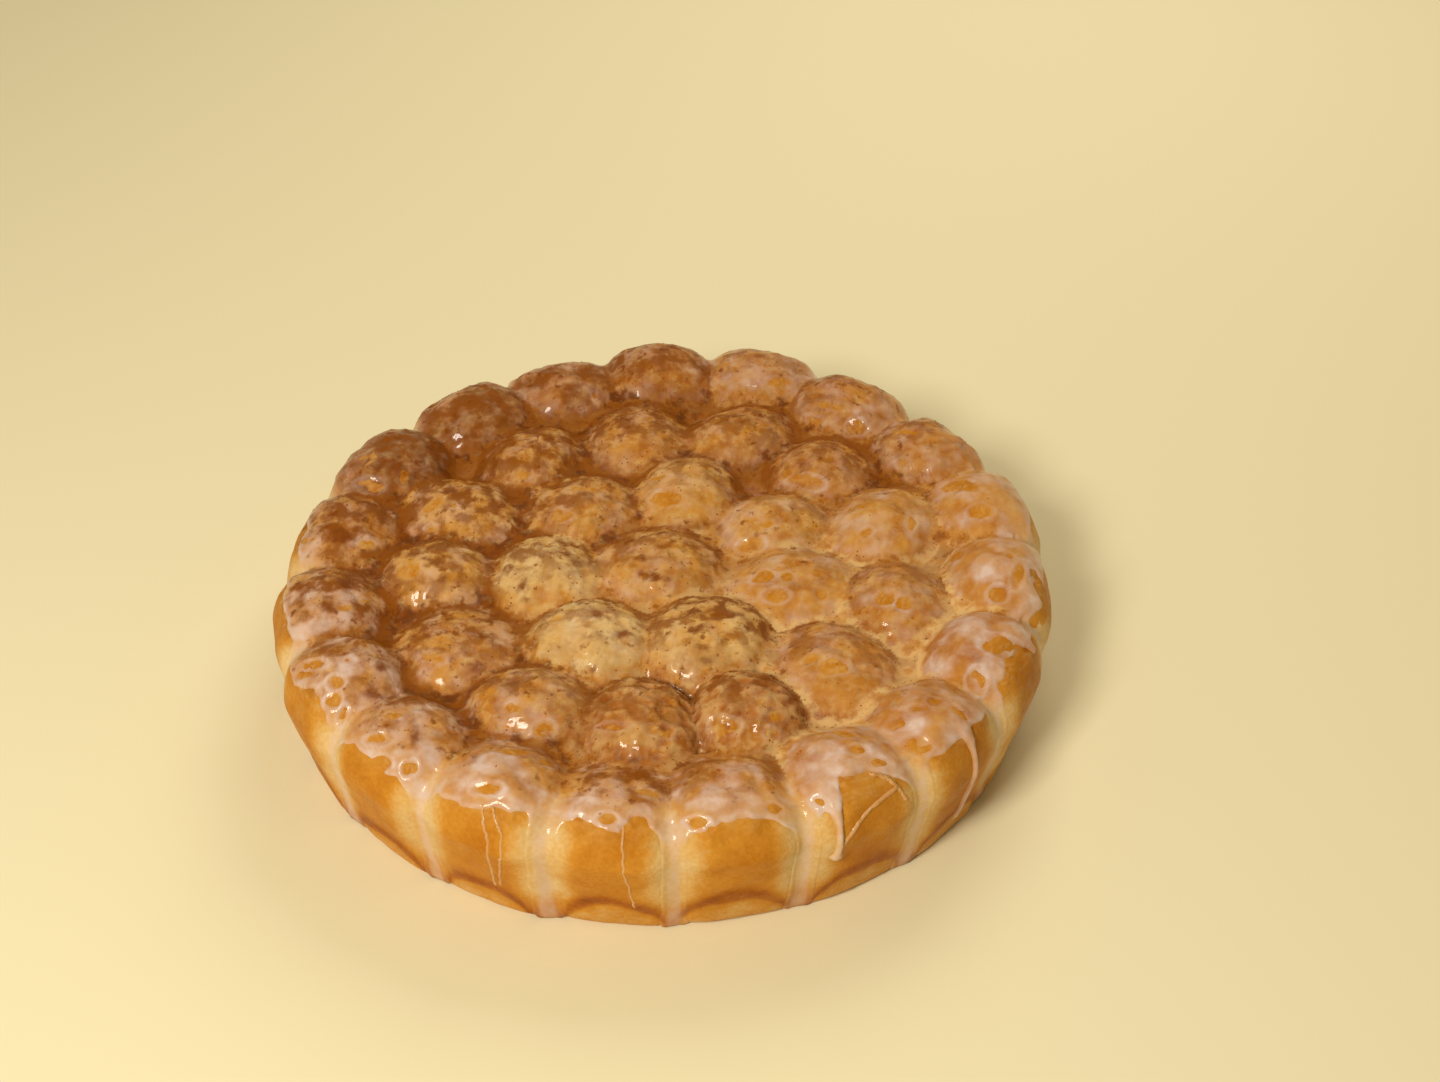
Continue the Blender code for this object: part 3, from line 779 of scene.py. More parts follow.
# The crumb that the balls share inside, a turned body that closes the loaf from below. Its flat
# base is plain baked crust.
CRUMB_RADIUS = 108 * MM
CRUMB_FOOT_RADIUS = 104 * MM
CRUMB_TOP = 37 * MM
CRUMB_LIFT = 0.25 * MM
CRUMB_EDGE = 2 * MM
CRUMB_BAKE = 0.42
bm = bmesh.new()
bmesh.ops.create_cone(
    bm,
    segments=96,
    radius1=CRUMB_FOOT_RADIUS,
    radius2=CRUMB_RADIUS,
    depth=CRUMB_TOP - CRUMB_LIFT,
    cap_ends=True,
    matrix=Matrix.Translation((0, 0, (CRUMB_TOP + CRUMB_LIFT) / 2)),
)
bmesh.ops.bevel(
    bm, geom=bm.edges[:], offset=CRUMB_EDGE, offset_type="OFFSET", segments=3, profile=0.5,
    affect="EDGES", material=-1,
)
mesh = mesh_from(bm, "crumb")
paint(mesh, "bake", np.full(len(mesh.vertices), CRUMB_BAKE))
place_piece(mesh, crust)

# The glaze. Thin sugar glaze poured over the hot loaf lies as a film on the domes, torn open in
# ovals where it drew back, and pools in the valleys: dark with spice behind and to the left, creamy
# to the right. A sheet of it, in strips that overlap, covers the balls inside the rim.
TOP_RADIUS = 104 * MM
TOP_EDGE = 1.5 * MM
TOP_STEP = 0.7 * MM
TOP_STRIPS = 3
STRIP_OVERLAP = 6
# From how far up the rays come that find the dough.
TOP_REACH = 80 * MM
# Cells beyond a sheet's border, so that the pools at its border come out as they do beyond it.
BEYOND = 14
# The glaze fills the valleys in rounds, more of them where it is wet. How whole the glaze is on the
# balls nearby where that begins, and where it is wet through.
WET_ROUNDS = 80
DRY_ROUNDS = 6
WET_BLUR = 25
WETNESS = (0.20, 0.42)
# Pools stay this far below the level to which they would fill, and meet the film in a soft corner.
POOL_DROP = 0.6 * MM
POOL_BLEND = 1.3 * MM
POOL_BLUR = 10
# How much deeper than a film the glaze is where it first counts as a pool, and where it is one.
POOL_DEPTHS = (0.2 * MM, 2.2 * MM)
# How far the dough lies under the level that glaze would fill to, where it first counts as in a crevice
# and where it fully does. Crevices get painted shade: darker crust and less white film.
CREVICE_DEPTHS = (0.6 * MM, 4.5 * MM)
FILM = 0.22 * MM
# How far in from its edge the film gets its thickness: from a thin edge, or from a thick lip.
FILM_SLOPE = 1.1 * MM
FILM_STEEPER = 0.8 * MM
FILM_EDGE = 0.25 * MM
LIP_IN = 0.7 * MM
LIP_WIDTH = 0.55 * MM
# A sheet's under side lies this deep in the crust, and its border ends sunk there, so that the turn
# of its edge doesn't show.
UNDER = 0.7 * MM
HIDDEN_EDGE = 0.35 * MM
BORDER_DIVE = 1.0 * MM
STRIP_DIVE = 1.2 * MM
BASE_CLEARANCE = 0.1 * MM
# Tears beside the openings: their spacing, how much flatter they are than wide, their size as a share
# of the spacing, how much of that goes where the glaze is whole, how uneven the size is, and how
# strong their edges are.
TEAR_SPACING = 8.5 * MM
TEAR_FLATTENED = 1.7
TEAR_SIZE = 0.40
TEAR_CLOSING = 0.5
TEAR_UNEVEN = 0.22
TEAR_STRENGTH = 0.2
# Where the pools are creamiest, and how far from there they are creamy.
CREAM_MIDDLE = on_bearing(322, 62 * MM)
CREAM_REACH = 76 * MM
CREAM_WAVE = 24 * MM


def outermost(origins, directions, reach):
    """How far along each ray the dough's outer skin is, and which quad of it that is."""
    shape = origins.shape[:-1]
    distances = np.zeros(shape)
    quads = np.zeros(shape, int)
    for index in np.ndindex(shape):
        origin = Vector(origins[index])
        direction = Vector(directions[index])
        hit = skin_tree.ray_cast(origin + direction * reach, -direction)
        if hit[0] is not None:
            distances[index] = reach - hit[3]
            quads[index] = hit[2] // 2
    return distances, quads


def around(values):
    """The mean of each value's four neighbours in the grid."""
    edged = np.pad(values, 1, mode="edge")
    return (edged[:-2, 1:-1] + edged[2:, 1:-1] + edged[1:-1, :-2] + edged[1:-1, 2:]) / 4


def filled(height, level, rounds):
    """The level of a liquid that clings over the dough and fills its creases, after more rounds."""
    for _ in range(rounds):
        level = np.maximum(height, around(level))
    return level


def blurred(values, rounds):
    for _ in range(rounds):
        values = around(values)
    return values


def pooled(height, wet):
    """The glaze's level, higher where it is wet, and the level if it were wet everywhere."""
    dry = filled(height, height, DRY_ROUNDS)
    level = filled(height, dry, WET_ROUNDS - DRY_ROUNDS)
    return dry + (level - dry) * step_up(blurred(wet, WET_BLUR), *WETNESS), level


def soft_max(first, second, blend):
    """The greater of two, with the corner between them rounded off over this distance."""
    near = np.clip(0.5 + (first - second) / (2 * blend), 0, 1)
    return first * near + second * (1 - near) + blend * near * (1 - near)


def tears(points, whole):
    """How far inside the film each point lies, in metres, less than 0 where it has torn open; and
    how high and white the film's edge stands there."""
    warp = lumps(points, 3 * MM)[..., None]
    scaled = points * np.array((1, 1, TEAR_FLATTENED)) + 0.9 * MM * lumps(points, 5 * MM)[..., None]
    places = (scaled.reshape(-1, 3) / TEAR_SPACING).tolist()
    torn = []
    for place, share in zip(places, whole.ravel()):
        distances, features = noise.voronoi(place)
        size = TEAR_SIZE - TEAR_CLOSING * share + TEAR_UNEVEN * noise.noise(features[0] * 7.3)
        torn.append((distances[0] - size) * TEAR_SPACING)
    torn = np.array(torn).reshape(whole.shape) + 0.6 * MM * lumps(points, 14 * MM)
    inside, strength = inside_ovals(points + OVAL_WARP * warp, openings)
    chosen = -inside < torn
    return np.where(chosen, -inside, torn), np.where(chosen, strength, TEAR_STRENGTH)


def film_height(inside, edge):
    """The film's thickness, from how far inside its edge a point lies: a strong edge stands up in a
    lip, and a weak one thins out."""
    slope = FILM_SLOPE - FILM_STEEPER * np.clip(2 * edge, 0, 1)
    rising = FILM * (1 - np.exp(-np.clip(inside, 0, None) / slope))
    lip = FILM_EDGE * (0.1 + 1.3 * edge) * np.exp(-(((inside - LIP_IN) / LIP_WIDTH) ** 2))
    sunk = -0.5 * MM * step_up(-inside, 0, 1.0 * MM)
    return np.where(inside > 0, rising + lip, sunk)


def creaminess(points):
    """How creamy the pooled glaze is here, from 0 where it is dark with spice."""
    away = np.linalg.norm((points - CREAM_MIDDLE)[..., :2], axis=-1)
    least = 0.07 + 0.23 * step_up(points[..., 1], 20 * MM, 80 * MM)
    return np.clip(1.5 - (away + CREAM_WAVE * lumps(points, 14 * MM, 3)) / CREAM_REACH, least, 1)


def milkiness(points, film, edge, whole):
    """How white the film is, from 0 where it is clear: whiter where it has drawn into a thick edge,
    and in clouds."""
    lip = np.exp(-(((film - 0.55 * MM) / (0.5 * MM)) ** 2)) * (0.02 + 0.68 * edge) * (0.3 + 0.7 * whole)
    cloud = np.clip(0.35 + 1.5 * lumps(points, 8 * MM, 3), 0, 1.4)
    inside, strength = inside_ovals(points, thick_places)
    thick = step_up(inside + 0.9 * MM * lumps(points, 4 * MM, 2), -1.2 * MM, 1.5 * MM) * strength * 0.5
    return np.clip(whole**1.4 * (0.06 + 0.6 * cloud) + lip + thick, 0.02, 0.92)


def without_pinches(keep):
    """Drops quads that touch the rest of the sheet only at a corner."""
    keep = keep.copy()
    for _ in range(20):
        a, b = keep[:-1, :-1], keep[1:, 1:]
        c, d = keep[1:, :-1], keep[:-1, 1:]
        falling = a & b & ~c & ~d
        rising = c & d & ~a & ~b
        if not falling.any() and not rising.any():
            break
        keep[:-1, :-1] &= ~falling
        keep[1:, :-1] &= ~rising
    return keep


def sheet_mesh(name, top, under, keep, values):
    """A closed sheet over a grid of places: its top and under side, and the quads that are kept."""
    rows, columns = keep.shape
    bm = bmesh.new()
    bmesh.ops.create_grid(bm, x_segments=columns, y_segments=rows, size=1)
    layers = {key: bm.verts.layers.float.new(key) for key in values}
    under_of = {}
    for vertex in bm.verts:
        row = round((vertex.co.y + 1) / 2 * rows)
        column = round((vertex.co.x + 1) / 2 * columns)
        under_of[vertex] = under[row, column]
        for key, layer in layers.items():
            vertex[layer] = values[key][row, column]
        vertex.co = top[row, column]
        vertex.index = row * (columns + 1) + column
    dropped = []
    for face in bm.faces:
        lowest = min(vertex.index for vertex in face.verts)
        if not keep[lowest // (columns + 1), lowest % (columns + 1)]:
            dropped.append(face)
    bmesh.ops.delete(bm, geom=dropped, context="FACES")
    originals = [(vertex, under_of[vertex]) for vertex in bm.verts]
    bmesh.ops.extrude_face_region(bm, geom=bm.faces[:], use_keep_orig=True)
    for vertex, place in originals:
        vertex.co = place
    bmesh.ops.recalc_face_normals(bm, faces=bm.faces)
    return mesh_from(bm, name)


def quads_near(mask):
    """Quads with any corner in this mask of points."""
    return mask[:-1, :-1] | mask[1:, :-1] | mask[:-1, 1:] | mask[1:, 1:]


def strip_dive(steps, count):
    """How far a strip has dived under its neighbour at each of these grid lines, 0 to 1."""
    over = STRIP_OVERLAP - np.minimum(steps + STRIP_OVERLAP, count + STRIP_OVERLAP - steps)
    return np.clip(over / STRIP_OVERLAP, 0, 1)


MILK_COLOUR = (0.67, 0.49, 0.41, 1)
# Pooled glaze from dark with spice to creamy.
POOL_TONES = (
    (0.00, (0.13, 0.028, 0.001, 1)),
    (0.35, (0.36, 0.120, 0.010, 1)),
    (0.65, (0.57, 0.280, 0.075, 1)),
    (1.00, (0.72, 0.460, 0.190, 1)),
)
ICING_FINISH = {
    "Specular IOR Level": 0.12,
    "Specular Tint": (1.0, 0.82, 0.60, 1),
    "Coat Weight": 0.35,
    "Coat Roughness": 0.09,
    "Subsurface Weight": 0.1,
    "Subsurface Radius": (1.0, 0.5, 0.2),
    "Subsurface Scale": 1.5 * MM,
}
icing, tree, shader = new_material("icing")
uneven = ranged(tree, speckle(tree, 5 * MM, 4, 0.58), 0.3, 0.7, 0.6, 1.3)
colour = mixed(tree, times(tree, painted(tree, "milk"), uneven), crust_colour(tree), MILK_COLOUR)
swirls = ranged(tree, speckle(tree, 7 * MM, 5, 0.62), 0.32, 0.68, -0.42, 0.42)
pool_colour = toned(tree, plus(tree, painted(tree, "cream"), swirls), POOL_TONES)
ragged = ranged(tree, speckle(tree, 4.5 * MM, 4, 0.55), 0.3, 0.7, -0.45, 0.45)
ragged = times(tree, ragged, ranged(tree, painted(tree, "pool"), 0.0, 0.3))
pool_share = ranged(tree, plus(tree, painted(tree, "pool"), ragged), 0.02, 0.8, 0, 0.88)
colour = mixed(tree, pool_share, colour, pool_colour)
tree.links.new(spiced(tree, colour), shader.inputs["Base Color"])
tree.links.new(ranged(tree, speckle(tree, 6 * MM, 2), 0.3, 0.7, 0.28, 0.46), shader.inputs["Roughness"])
bumped(tree, shader, speckle(tree, 2.2 * MM, 2, 0.5), 0.2 * MM)
set_sockets(shader, ICING_FINISH)


def cells_of(points, chance):
    """Each cell of a grid of points: a corner, the two edges from it, and how likely a grain is."""
    corner = points[:-1, :-1].reshape(-1, 3)
    across = points[:-1, 1:].reshape(-1, 3) - corner
    along = points[1:, :-1].reshape(-1, 3) - corner
    return corner, across, along, chance[:-1, :-1].reshape(-1, 1)


def looks_at(quads):
    """The dough's bake without its openings, spice, pale folds and glaze at each of these quads."""
    looks = dough_looks[dough_quads[quads]].mean(-2)
    looks[..., 0] = dough_bare[dough_quads[quads]].mean(-1)
    return np.moveaxis(looks, -1, 0)


# What a sheet lies on, at each of its places: the dough's height along the ray, where that is and
# its looks; the level of pooled glaze, how deep in a crevice the dough is and how creamy a pool is
# there; and how far inside the film's edge the place is, and how strong that edge is.
Bed = namedtuple("Bed", "height place bake spice pale glaze level crevice creamy film edge")


def bed_of(origins, directions, height, quads):
    """The bed that a sheet's rays find: how far along each the dough is, and which quad of it."""
    place = origins + directions * height[..., None]
    bake, spice, pale, glaze = looks_at(quads)
    level, brim = pooled(height, glaze)
    crevice = step_up(brim - height, *CREVICE_DEPTHS)
    film, edge = tears(place, glaze)
    return Bed(height, place, bake, spice, pale, glaze, level, crevice, creaminess(place), film, edge)


def sheet_looks(bed, crevice, pool, milk):
    """What is painted on a sheet: crevices get painted shade, a darker bake, and the spice gathers in
    them, both less where the pools are creamy.
    """
    return {
        "bake": bed.bake + 0.3 * crevice * (1 - bed.creamy),
        "spice": np.clip(bed.spice + crevice * (0.2 - 0.35 * bed.creamy), 0, 1),
        "pale": bed.pale,
        "spot": spotted(bed.place) * (1 - pool),
        "milk": milk,
        "pool": pool,
        "cream": bed.creamy,
    }


def lay_sheet(name, count, cells, lines, origins, directions, height, surface, keep, values):
    """Makes a sheet and places it, cut into strips that each overlap the next by a few cells, in
    which they dive. The lines number the sheet's columns, 0 at the first strip's start."""
    top = origins + directions * surface[..., None]
    top[..., 2] = np.clip(top[..., 2], BASE_CLEARANCE, None)
    under = origins + directions * (np.minimum(height, surface) - UNDER)[..., None]
    for strip in range(count):
        steps = lines - strip * cells
        here = np.flatnonzero((steps >= -STRIP_OVERLAP) & (steps <= cells + STRIP_OVERLAP))
        columns = slice(here[0], here[-1] + 1)
        dive = STRIP_DIVE * strip_dive(steps[columns], cells)[None, :, None] * directions[:, columns]
        mesh = sheet_mesh(
            f"{name}_{strip}",
            top[:, columns] - dive,
            under[:, columns] - dive,
            without_pinches(keep[:, columns.start : columns.stop - 1]),
            {key: value[:, columns] for key, value in values.items()},
        )
        place_piece(mesh, icing)


cells = round(2 * TOP_RADIUS / TOP_STEP / TOP_STRIPS)
lines = np.arange(-BEYOND, cells * TOP_STRIPS + BEYOND + 1)
line = -TOP_RADIUS + lines * 2 * TOP_RADIUS / (cells * TOP_STRIPS)
x, y = np.meshgrid(line, line)
origins = np.stack((x, y, np.zeros_like(x)), 2)
upward = np.zeros_like(origins)
upward[..., 2] = 1
height, quads = outermost(origins, upward, TOP_REACH)
height = np.maximum(height, CRUMB_TOP)
bed = bed_of(origins, upward, height, quads)
film_top = height + film_height(bed.film, bed.edge)
surface = soft_max(film_top, bed.level - POOL_DROP, POOL_BLEND)
pool = blurred(step_up(surface - film_top, *POOL_DEPTHS), POOL_BLUR)
from_middle = np.hypot(x, y)
surface -= BORDER_DIVE * np.clip((from_middle - TOP_RADIUS) / TOP_EDGE + 1, 0, 1)
keep = quads_near(surface > height - HIDDEN_EDGE) & quads_near(from_middle < TOP_RADIUS)
# Less white in crevices, as painted shade.
milk = milkiness(bed.place, bed.film, bed.edge, bed.glaze) * (1 - 0.5 * bed.crevice)
values = sheet_looks(bed, bed.crevice, pool, milk)
lay_sheet("glaze", TOP_STRIPS, cells, lines, origins, upward, height, surface, keep, values)
strewn = np.where(from_middle < TOP_RADIUS - TOP_EDGE, values["spice"] + 0.8 * pool, 0)
strewn = strewn * (1 - values["milk"])
grain_cells = [cells_of(origins + upward * np.maximum(surface, height)[..., None], strewn)]

# The icing over the rim. It covers the rim's crowns, ends in a scalloped lip over the loaf's side,
# and has run down every seam between two balls. It was poured on last and set as it ran.
RIM_START = 101 * MM
RIM_AXIS = 109 * MM
RIM_STEP = 0.62 * MM
RIM_ROW = 0.72 * MM
SIDE_RADIUS = 124 * MM
LIP_BLEND = 1.5 * MM
RIM_PIECES = 4
# Where the lip's lower edge hangs, round the front: bearing in degrees and height in mm.
LIP_EDGE = (
    (205, 44.5), (208.8, 43), (212.9, 47.4), (214.9, 46.6), (218, 42.7), (220.6, 39.5), (224, 43.7),
    (228, 43.5), (230.5, 42), (233, 43), (235, 40), (236.8, 38), (239, 42.5), (242.5, 43.3),
    (245, 43.7), (248.1, 45), (251.1, 44.8), (253, 43.3), (255, 38), (257, 41.5), (259.3, 44.3),
    (263.5, 43.7), (265.4, 42.6), (267, 45.1), (268.8, 44.3), (270.8, 41.9), (273, 37.5), (275, 42),
    (279.4, 44.9), (283.2, 45.6), (286.9, 43.2), (289.5, 39.5), (291.5, 36), (292.8, 42), (294.4, 42.5),
    (296.4, 43.5), (297.6, 49), (302, 48.4), (304.6, 46), (306.5, 43.5), (309.5, 38), (311.5, 44.5),
    (316, 46), (321, 46.5), (325, 44), (327.5, 39), (330, 46), (333, 49), (341, 47.5), (345, 44),
    (347, 39),
)
# Round the back, its height in mm, and how much lower it hangs at a seam.
LIP_HEIGHT = 45.2
SEAM_DIP = 6.5
SEAM_DIP_WIDTH = 3.4 * MM
LIP_RIPPLE = 0.5
Run = namedtuple("Run", "bearing half_width highest lowest thickness")
# Runs down the faces of balls: bearing in degrees, then half-width, top, foot and thickness in mm.
FACE_RUNS = (
    Run(295.5, 1.15, 46, 24.0, 1.2),
    Run(319.0, 1.3, 48, 9.0, 0.9),
    Run(340.5, 1.2, 50, 44.0, 0.6),
    Run(62.0, 1.2, 46, 37.0, 0.7),
    Run(88.0, 1.1, 46, 34.0, 0.7),
    Run(120.0, 1.2, 46, 30.0, 0.8),
    Run(24.0, 1.0, 46, 36.0, 0.6),
)
SEAM_HALF_WIDTH = 2.1
SEAM_THICKNESS = 0.35
# The clear syrup that a seam's run has on either side of it, which fills the groove flush.
SEAM_CLEAR_EDGE = 2.7 * MM
GROOVE_ROUNDS = 18
BEAD_RADIUS = 2.1 * MM
RUN_WANDER = 0.35 * MM
# Higher in mm than the icing lies anywhere, for a run that comes from over the crowns.
OVER_ALL = 60
RIM_REACH = 60 * MM
# Pools thin out where the crowns turn down, from the first of these distances from the loaf's axis
# to the second, measured along a turn of this radius.
POOLS_END = (109 * MM, 116 * MM)
CROWN_TURN_RADIUS = 12 * MM
GRAINS_ABOVE = 44 * MM


def seam_runs():
    """The run in each seam between two of the rim's balls."""
    chance = random.Random(5)
    for ball, after in zip(RIM_BALLS, RIM_BALLS[1:] + RIM_BALLS[:1]):
        bearing = ball.bearing - (ball.bearing - after.bearing) % 360 / 2
        half_width = SEAM_HALF_WIDTH * (1 + chance.uniform(-0.18, 0.18))
        yield Run(bearing % 360, half_width, OVER_ALL, 0.5, SEAM_THICKNESS)


def rim_rows():
    """Where each row of the sheet starts inside the rim and which way it looks out: straight up
    over the crowns, then turning over, then straight out down the side."""
    for distance in np.arange(RIM_START - BEYOND * RIM_ROW, RIM_AXIS, RIM_ROW):
        yield distance, RIM_WAIST, math.pi / 2
    for tilt in np.linspace(math.pi / 2, 0, round(RIM_DEPTH * math.pi / 2 / RIM_ROW)):
        yield RIM_AXIS, RIM_WAIST, tilt
    for z in np.arange(RIM_WAIST - RIM_ROW, 0.3 * MM, -RIM_ROW):
        yield RIM_AXIS, z, 0.0


def turned(bearings, bearing):
    """How far round from this bearing in degrees each of these in radians is, -pi to pi."""
    return (bearings - math.radians(bearing) + math.pi) % (2 * math.pi) - math.pi


distance, start, tilt = np.array(list(rim_rows())).T[:, :, None]
seams = list(seam_runs())
bead_run = FACE_RUNS[0]
cells = round(2 * math.pi * SIDE_RADIUS / RIM_STEP / RIM_PIECES)
lines = np.arange(-BEYOND, cells * RIM_PIECES + BEYOND + 1)
bearings = lines * 2 * math.pi / (cells * RIM_PIECES)
cosines, sines = np.cos(bearings), np.sin(bearings)
origins = np.stack((distance * cosines, distance * sines, start + 0 * cosines), 2)
directions = np.stack((np.cos(tilt) * cosines, np.cos(tilt) * sines, np.sin(tilt) + 0 * cosines), 2)
height, quads = outermost(origins, directions, RIM_REACH)
bed = bed_of(origins, directions, height, quads)
inner = 1 - step_up(distance - (tilt - math.pi / 2) * CROWN_TURN_RADIUS, *POOLS_END)
crevice = bed.crevice * inner

# Where the lip hangs, and the runs below it, as distances inside their outline on the unrolled side.
z = np.where(tilt > math.radians(80), OVER_ALL * MM, bed.place[..., 2])
dip = np.zeros_like(bearings)
for run in seams:
    dip = np.maximum(dip, np.exp(-np.abs(turned(bearings, run.bearing)) * SIDE_RADIUS / SEAM_DIP_WIDTH))
degrees = np.degrees(bearings) % 360
in_front = (degrees > LIP_EDGE[0][0]) & (degrees < LIP_EDGE[-1][0])
hang = np.where(in_front, np.interp(degrees, *np.array(LIP_EDGE).T), LIP_HEIGHT - SEAM_DIP * dip)
ripple = lumps(np.stack((cosines, sines, 0 * sines), 1) * SIDE_RADIUS, 5 * MM, 2)
lip_inside = z - (hang + LIP_RIPPLE * ripple) * MM
tongue = np.full_like(lip_inside, -1.0)
thickness = np.zeros_like(lip_inside)
rounded = np.zeros_like(lip_inside)
for run in seams + list(FACE_RUNS):
    across = turned(bearings, run.bearing) * SIDE_RADIUS + 0 * z
    across += RUN_WANDER * lumps(bed.place + run.bearing, 9 * MM)
    past = np.clip((run.lowest + run.half_width) * MM - z, 0, None)
    above = np.clip(z - run.highest * MM, 0, None)
    if run in seams:
        flare = 1 + 0.25 * step_up(16 * MM - z, 0, 16 * MM) - 0.15 * step_up(z, 20 * MM, 32 * MM)
        clear_edge = SEAM_CLEAR_EDGE
    else:
        flare = 1 + 0.9 * step_up(z, (run.highest - 8) * MM, run.highest * MM)
        clear_edge = 0
    reach = run.half_width * MM * flare - np.hypot(across, past + above)
    if run is bead_run:
        bead = BEAD_RADIUS - np.hypot(across, z - run.lowest * MM - BEAD_RADIUS)
        reach = np.maximum(reach, bead)
    nearer = reach + clear_edge > tongue
    share = np.clip(reach / (run.half_width * MM), 0, 1)
    rounded = np.where(nearer, (share * (2 - share)) ** (0.8 if clear_edge else 0.5), rounded)
    thickness = np.where(nearer, run.thickness * MM, thickness)
    tongue = np.maximum(tongue, reach + clear_edge)
outline = soft_max(lip_inside, tongue, LIP_BLEND)
in_run = step_up(hang * MM - z, -1 * MM, 3 * MM)

# The film and its lip, then the runs, which fill the seams flush, then the pools behind the crowns.
torn = np.minimum(bed.film, outline)
edge = np.where(outline < torn + 0.01 * MM, 0.5, bed.edge) * (1 - in_run)
film = np.where(in_run > 0.5, outline, torn)
swell = thickness * rounded * step_up(hang * MM - z, -5 * MM, 1 * MM)
groove = filled(height, height, GROOVE_ROUNDS)
groove_fill = (groove - height) * step_up(outline, 0, 1.8 * MM) * (1 - inner)
# A run's clear edge comes out of the crust at a slope.
run_top = np.clip((outline - 0.8 * MM) * 0.4, -0.5 * MM, FILM)
coating = film_height(film, edge) * (1 - in_run) + run_top * in_run
film_top = height + coating + np.where(outline > 0, swell, 0) + groove_fill
pool_level = np.where(outline > 0, bed.level - POOL_DROP, -1.0)
surface = np.where(inner > 0, soft_max(film_top, pool_level, POOL_BLEND), film_top)
pool = blurred(step_up(surface - film_top, *POOL_DEPTHS) * inner, POOL_BLUR)
surface = surface - BORDER_DIVE * np.clip((RIM_START - distance) / TOP_EDGE + 1, 0, 1)
keep = quads_near(surface > height - HIDDEN_EDGE) & quads_near(distance + 0 * z > RIM_START)
near_lip = np.exp(-np.clip(lip_inside, 0, None) / (3.5 * MM)) * (1 - in_run)
# Less white in crevices, as painted shade.
milk = milkiness(bed.place, film, edge, bed.glaze) * (1 - 0.5 * crevice) + 0.3 * near_lip
run_milk = rounded * (0.5 + 0.15 * step_up(thickness, 0.8 * MM, 1.0 * MM))
values = sheet_looks(bed, crevice, pool, np.clip(milk * (1 - in_run) + run_milk * in_run, 0, 0.92))
values["spice"] = values["spice"] * (1 - in_run)
lay_sheet("icing", RIM_PIECES, cells, lines, origins, directions, height, surface, keep, values)
once = (lines >= 0) & (lines < cells * RIM_PIECES) & (distance > RIM_START + TOP_EDGE)
once = once & (bed.place[..., 2] > GRAINS_ABOVE)
strewn = np.where(once, (values["spice"] + 0.8 * pool) * (1 - in_run), 0)
strewn = strewn * (1 - values["milk"]) ** 2
grain_cells.append(cells_of(origins + directions * np.maximum(surface, height)[..., None], strewn))

# Strings of icing, as thin as thread, that fell across the faces of three balls as it was poured:
# how thick each is beside the first, then bearings in degrees and heights in mm along it.
STRINGS = (
    (1.0, ((246.6, 45), (248.2, 36.6), (248.3, 25), (247.8, 14))),
    (0.9, ((247.9, 45), (249.2, 41.6), (250.1, 38.8), (250.1, 32.5), (249.1, 21), (248.9, 15))),
    (0.8, ((266.0, 45), (266.5, 30), (267.5, 13))),
    (1.5, ((305.2, 43), (300.5, 41), (298.3, 38), (296.5, 33.8), (295.7, 30))),
    (1.3, ((302.2, 47.6), (303.4, 46.9), (304.4, 45.4), (305.4, 42.5), (306.4, 38))),
)
STRING_RADIUS = 0.62 * MM
# How deep a string lies in the crust, as a share of its radius.
STRING_SUNK = 0.45
STRING_POINTS = 60
STRING_MILK = 0.2
STRING_BAKE = 0.33
curve = bpy.data.curves.new("strings", "CURVE")
curve.dimensions = "3D"
curve.bevel_depth = STRING_RADIUS
curve.bevel_resolution = 2
curve.use_fill_caps = True
for thickness, string in STRINGS:
    string_bearings, heights = np.array(string).T
    shares = np.linspace(0, len(string) - 1, STRING_POINTS)
    spline = curve.splines.new("POLY")
    spline.points.add(STRING_POINTS - 1)
    for point, share in zip(spline.points, shares):
        bearing = np.interp(share, range(len(string)), string_bearings)
        z = np.interp(share, range(len(string)), heights) * MM
        bearing += 0.25 * noise.noise((bearing * 9, z / MM / 7, 3.1))
        outward = Vector(on_bearing(bearing, 1))
        hit = skin_tree.ray_cast(outward * 0.2 + Vector((0, 0, z)), -outward)[0]
        point.radius = thickness * (0.9 + 0.35 * noise.noise((z / MM / 3, bearing, 0)))
        point.co = (*(hit - outward * STRING_SUNK * STRING_RADIUS * point.radius), 1)
strings = bpy.data.objects.new("strings", curve)
bm = bmesh.new()
bm.from_mesh(bpy.data.meshes.new_from_object(strings))
bmesh.ops.remove_doubles(bm, verts=bm.verts, dist=0.001 * MM)
bmesh.ops.recalc_face_normals(bm, faces=bm.faces)
mesh = mesh_from(bm, "icing_strings")
paint(mesh, "milk", np.full(len(mesh.vertices), STRING_MILK))
paint(mesh, "bake", np.full(len(mesh.vertices), STRING_BAKE))
place_piece(mesh, icing)
bpy.data.objects.remove(strings)

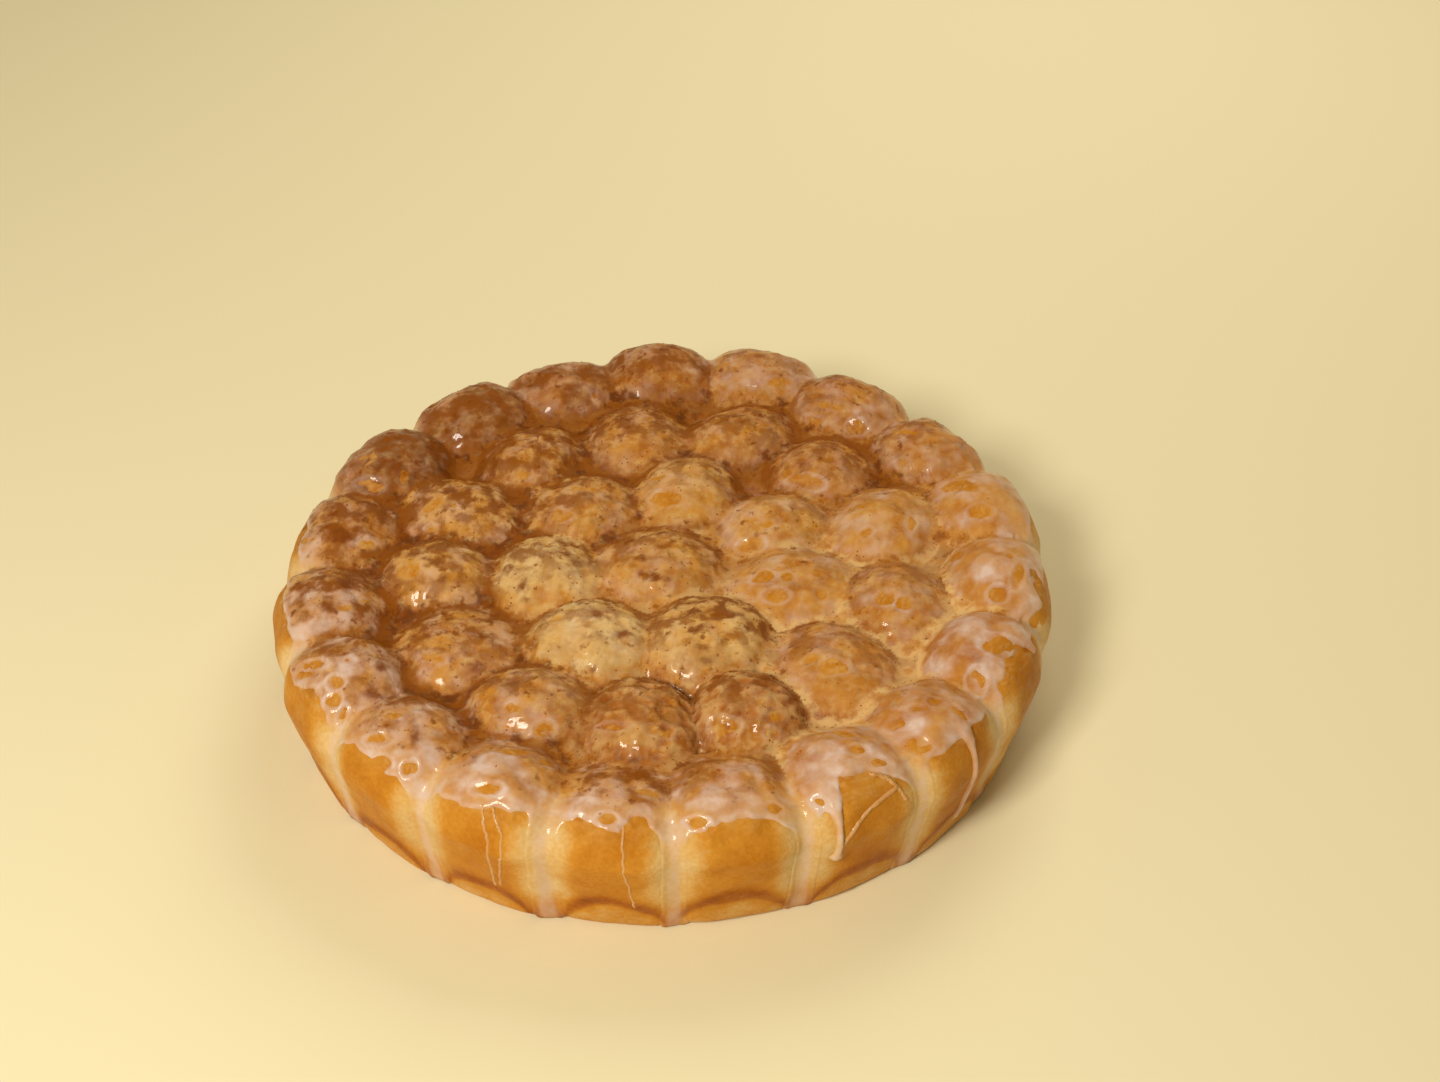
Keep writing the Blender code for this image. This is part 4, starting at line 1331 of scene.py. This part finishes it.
# Grains of ground cinnamon that have not melted. They were strewn over the tops, lie thickest in
# the pools, and are too few to see one by one on the white icing.
GRAINS = 2200
GRAIN_SIZE = 0.25 * MM
GRAIN_FLATNESS = 0.6
CINNAMON_FINISH = {
    "Base Color": (0.26, 0.075, 0.008, 1),
    "Roughness": 0.7,
    "Specular IOR Level": 0.2,
}
cinnamon, tree, shader = new_material("cinnamon")
set_sockets(shader, CINNAMON_FINISH)
corners, across, along, likely = (np.concatenate(part) for part in zip(*grain_cells))
chance = np.random.default_rng(11)
chosen = chance.choice(len(corners), GRAINS, replace=False, p=likely[:, 0] / likely.sum())
bm = bmesh.new()
for cell in chosen:
    place = corners[cell] + chance.random() * across[cell] + chance.random() * along[cell]
    flat_on = Vector(np.cross(across[cell], along[cell])).to_track_quat("Z", "Y").to_matrix().to_4x4()
    size = GRAIN_SIZE * chance.uniform(0.5, 1.3)
    form = Matrix.Diagonal((size * chance.uniform(0.7, 1.3), size, size * GRAIN_FLATNESS, 1))
    spin = Matrix.Rotation(chance.uniform(0, math.pi), 4, "Z")
    bmesh.ops.create_icosphere(
        bm, subdivisions=1, radius=1, matrix=Matrix.Translation(place) @ flat_on @ spin @ form
    )
place_piece(mesh_from(bm, "cinnamon_grains"), cinnamon)

# The set: a plain pale floor, a lamp at the front left, a larger and weaker one from the right
# behind, and a faint warm light from all round.
FLOOR_SIZE = 4
FLOOR_GAP = 0.2 * MM
FLOOR_FINISH = {
    "Base Color": (0.84, 0.75, 0.50, 1),
    "Roughness": 0.7,
    "Specular IOR Level": 0.2,
}
bm = bmesh.new()
bmesh.ops.create_grid(bm, x_segments=1, y_segments=1, size=FLOOR_SIZE)
mesh = mesh_from(bm, "floor")
floor = bpy.data.objects.new("floor", mesh)
floor.location.z = -FLOOR_GAP
bpy.context.scene.collection.objects.link(floor)
floor_material, tree, shader = new_material("floor")
set_sockets(shader, FLOOR_FINISH)
mesh.materials.append(floor_material)

Lamp = namedtuple("Lamp", "name place size power colour")
LAMPS = (
    Lamp("front", (-0.42, -0.80, 0.80), 0.30, 11.0, (1.0, 0.95, 0.84)),
    Lamp("back", (0.25, 0.70, 0.75), 0.60, 4.5, (1.0, 0.94, 0.82)),
)
for lamp in LAMPS:
    light = bpy.data.lights.new(lamp.name, "AREA")
    light.size = lamp.size
    light.energy = lamp.power
    light.color = lamp.colour
    holder = bpy.data.objects.new(lamp.name, light)
    holder.location = lamp.place
    holder.rotation_euler = (-Vector(lamp.place)).to_track_quat("-Z", "Y").to_euler()
    # Only the front lamp mirrors in the icing; the one behind would lay a grey sheen on the pools.
    holder.visible_glossy = lamp.name == "front"
    bpy.context.scene.collection.objects.link(holder)
world = bpy.data.worlds.new("studio")
world.use_nodes = True
set_sockets(world.node_tree.nodes["Background"], {"Color": (1.0, 0.86, 0.52, 1), "Strength": 0.27})
bpy.context.scene.world = world
bpy.context.scene.view_settings.view_transform = "Standard"

# The camera looks down by its pitch, a little rolled; the rings' crown circle is the unit in which
# the loaf's place in front of it is given: right, up and away.
PITCH = math.radians(38.54)
ROLL = math.radians(0.978)
CROWN_CIRCLE = 110.5 * MM
LOAF_FROM_CAMERA = (-0.1665, -0.3684, 6.5)
FOCAL_PIXELS = 2087.7
PHOTO_WIDTH = 1440
SENSOR_WIDTH = 36
away = Vector((0, math.cos(PITCH), -math.sin(PITCH)))
level_right = Vector((1, 0, 0))
level_up = Vector((0, math.sin(PITCH), math.cos(PITCH)))
right = level_right * math.cos(ROLL) + level_up * math.sin(ROLL)
up = level_up * math.cos(ROLL) - level_right * math.sin(ROLL)
offset = right * LOAF_FROM_CAMERA[0] + up * LOAF_FROM_CAMERA[1] + away * LOAF_FROM_CAMERA[2]
camera = bpy.data.objects.new("camera", bpy.data.cameras.new("camera"))
camera.data.sensor_width = SENSOR_WIDTH
camera.data.lens = FOCAL_PIXELS / PHOTO_WIDTH * SENSOR_WIDTH
aim = Matrix((right, up, -away)).transposed().to_4x4()
camera.matrix_world = Matrix.Translation(-offset * CROWN_CIRCLE) @ aim
bpy.context.scene.collection.objects.link(camera)
bpy.context.scene.camera = camera
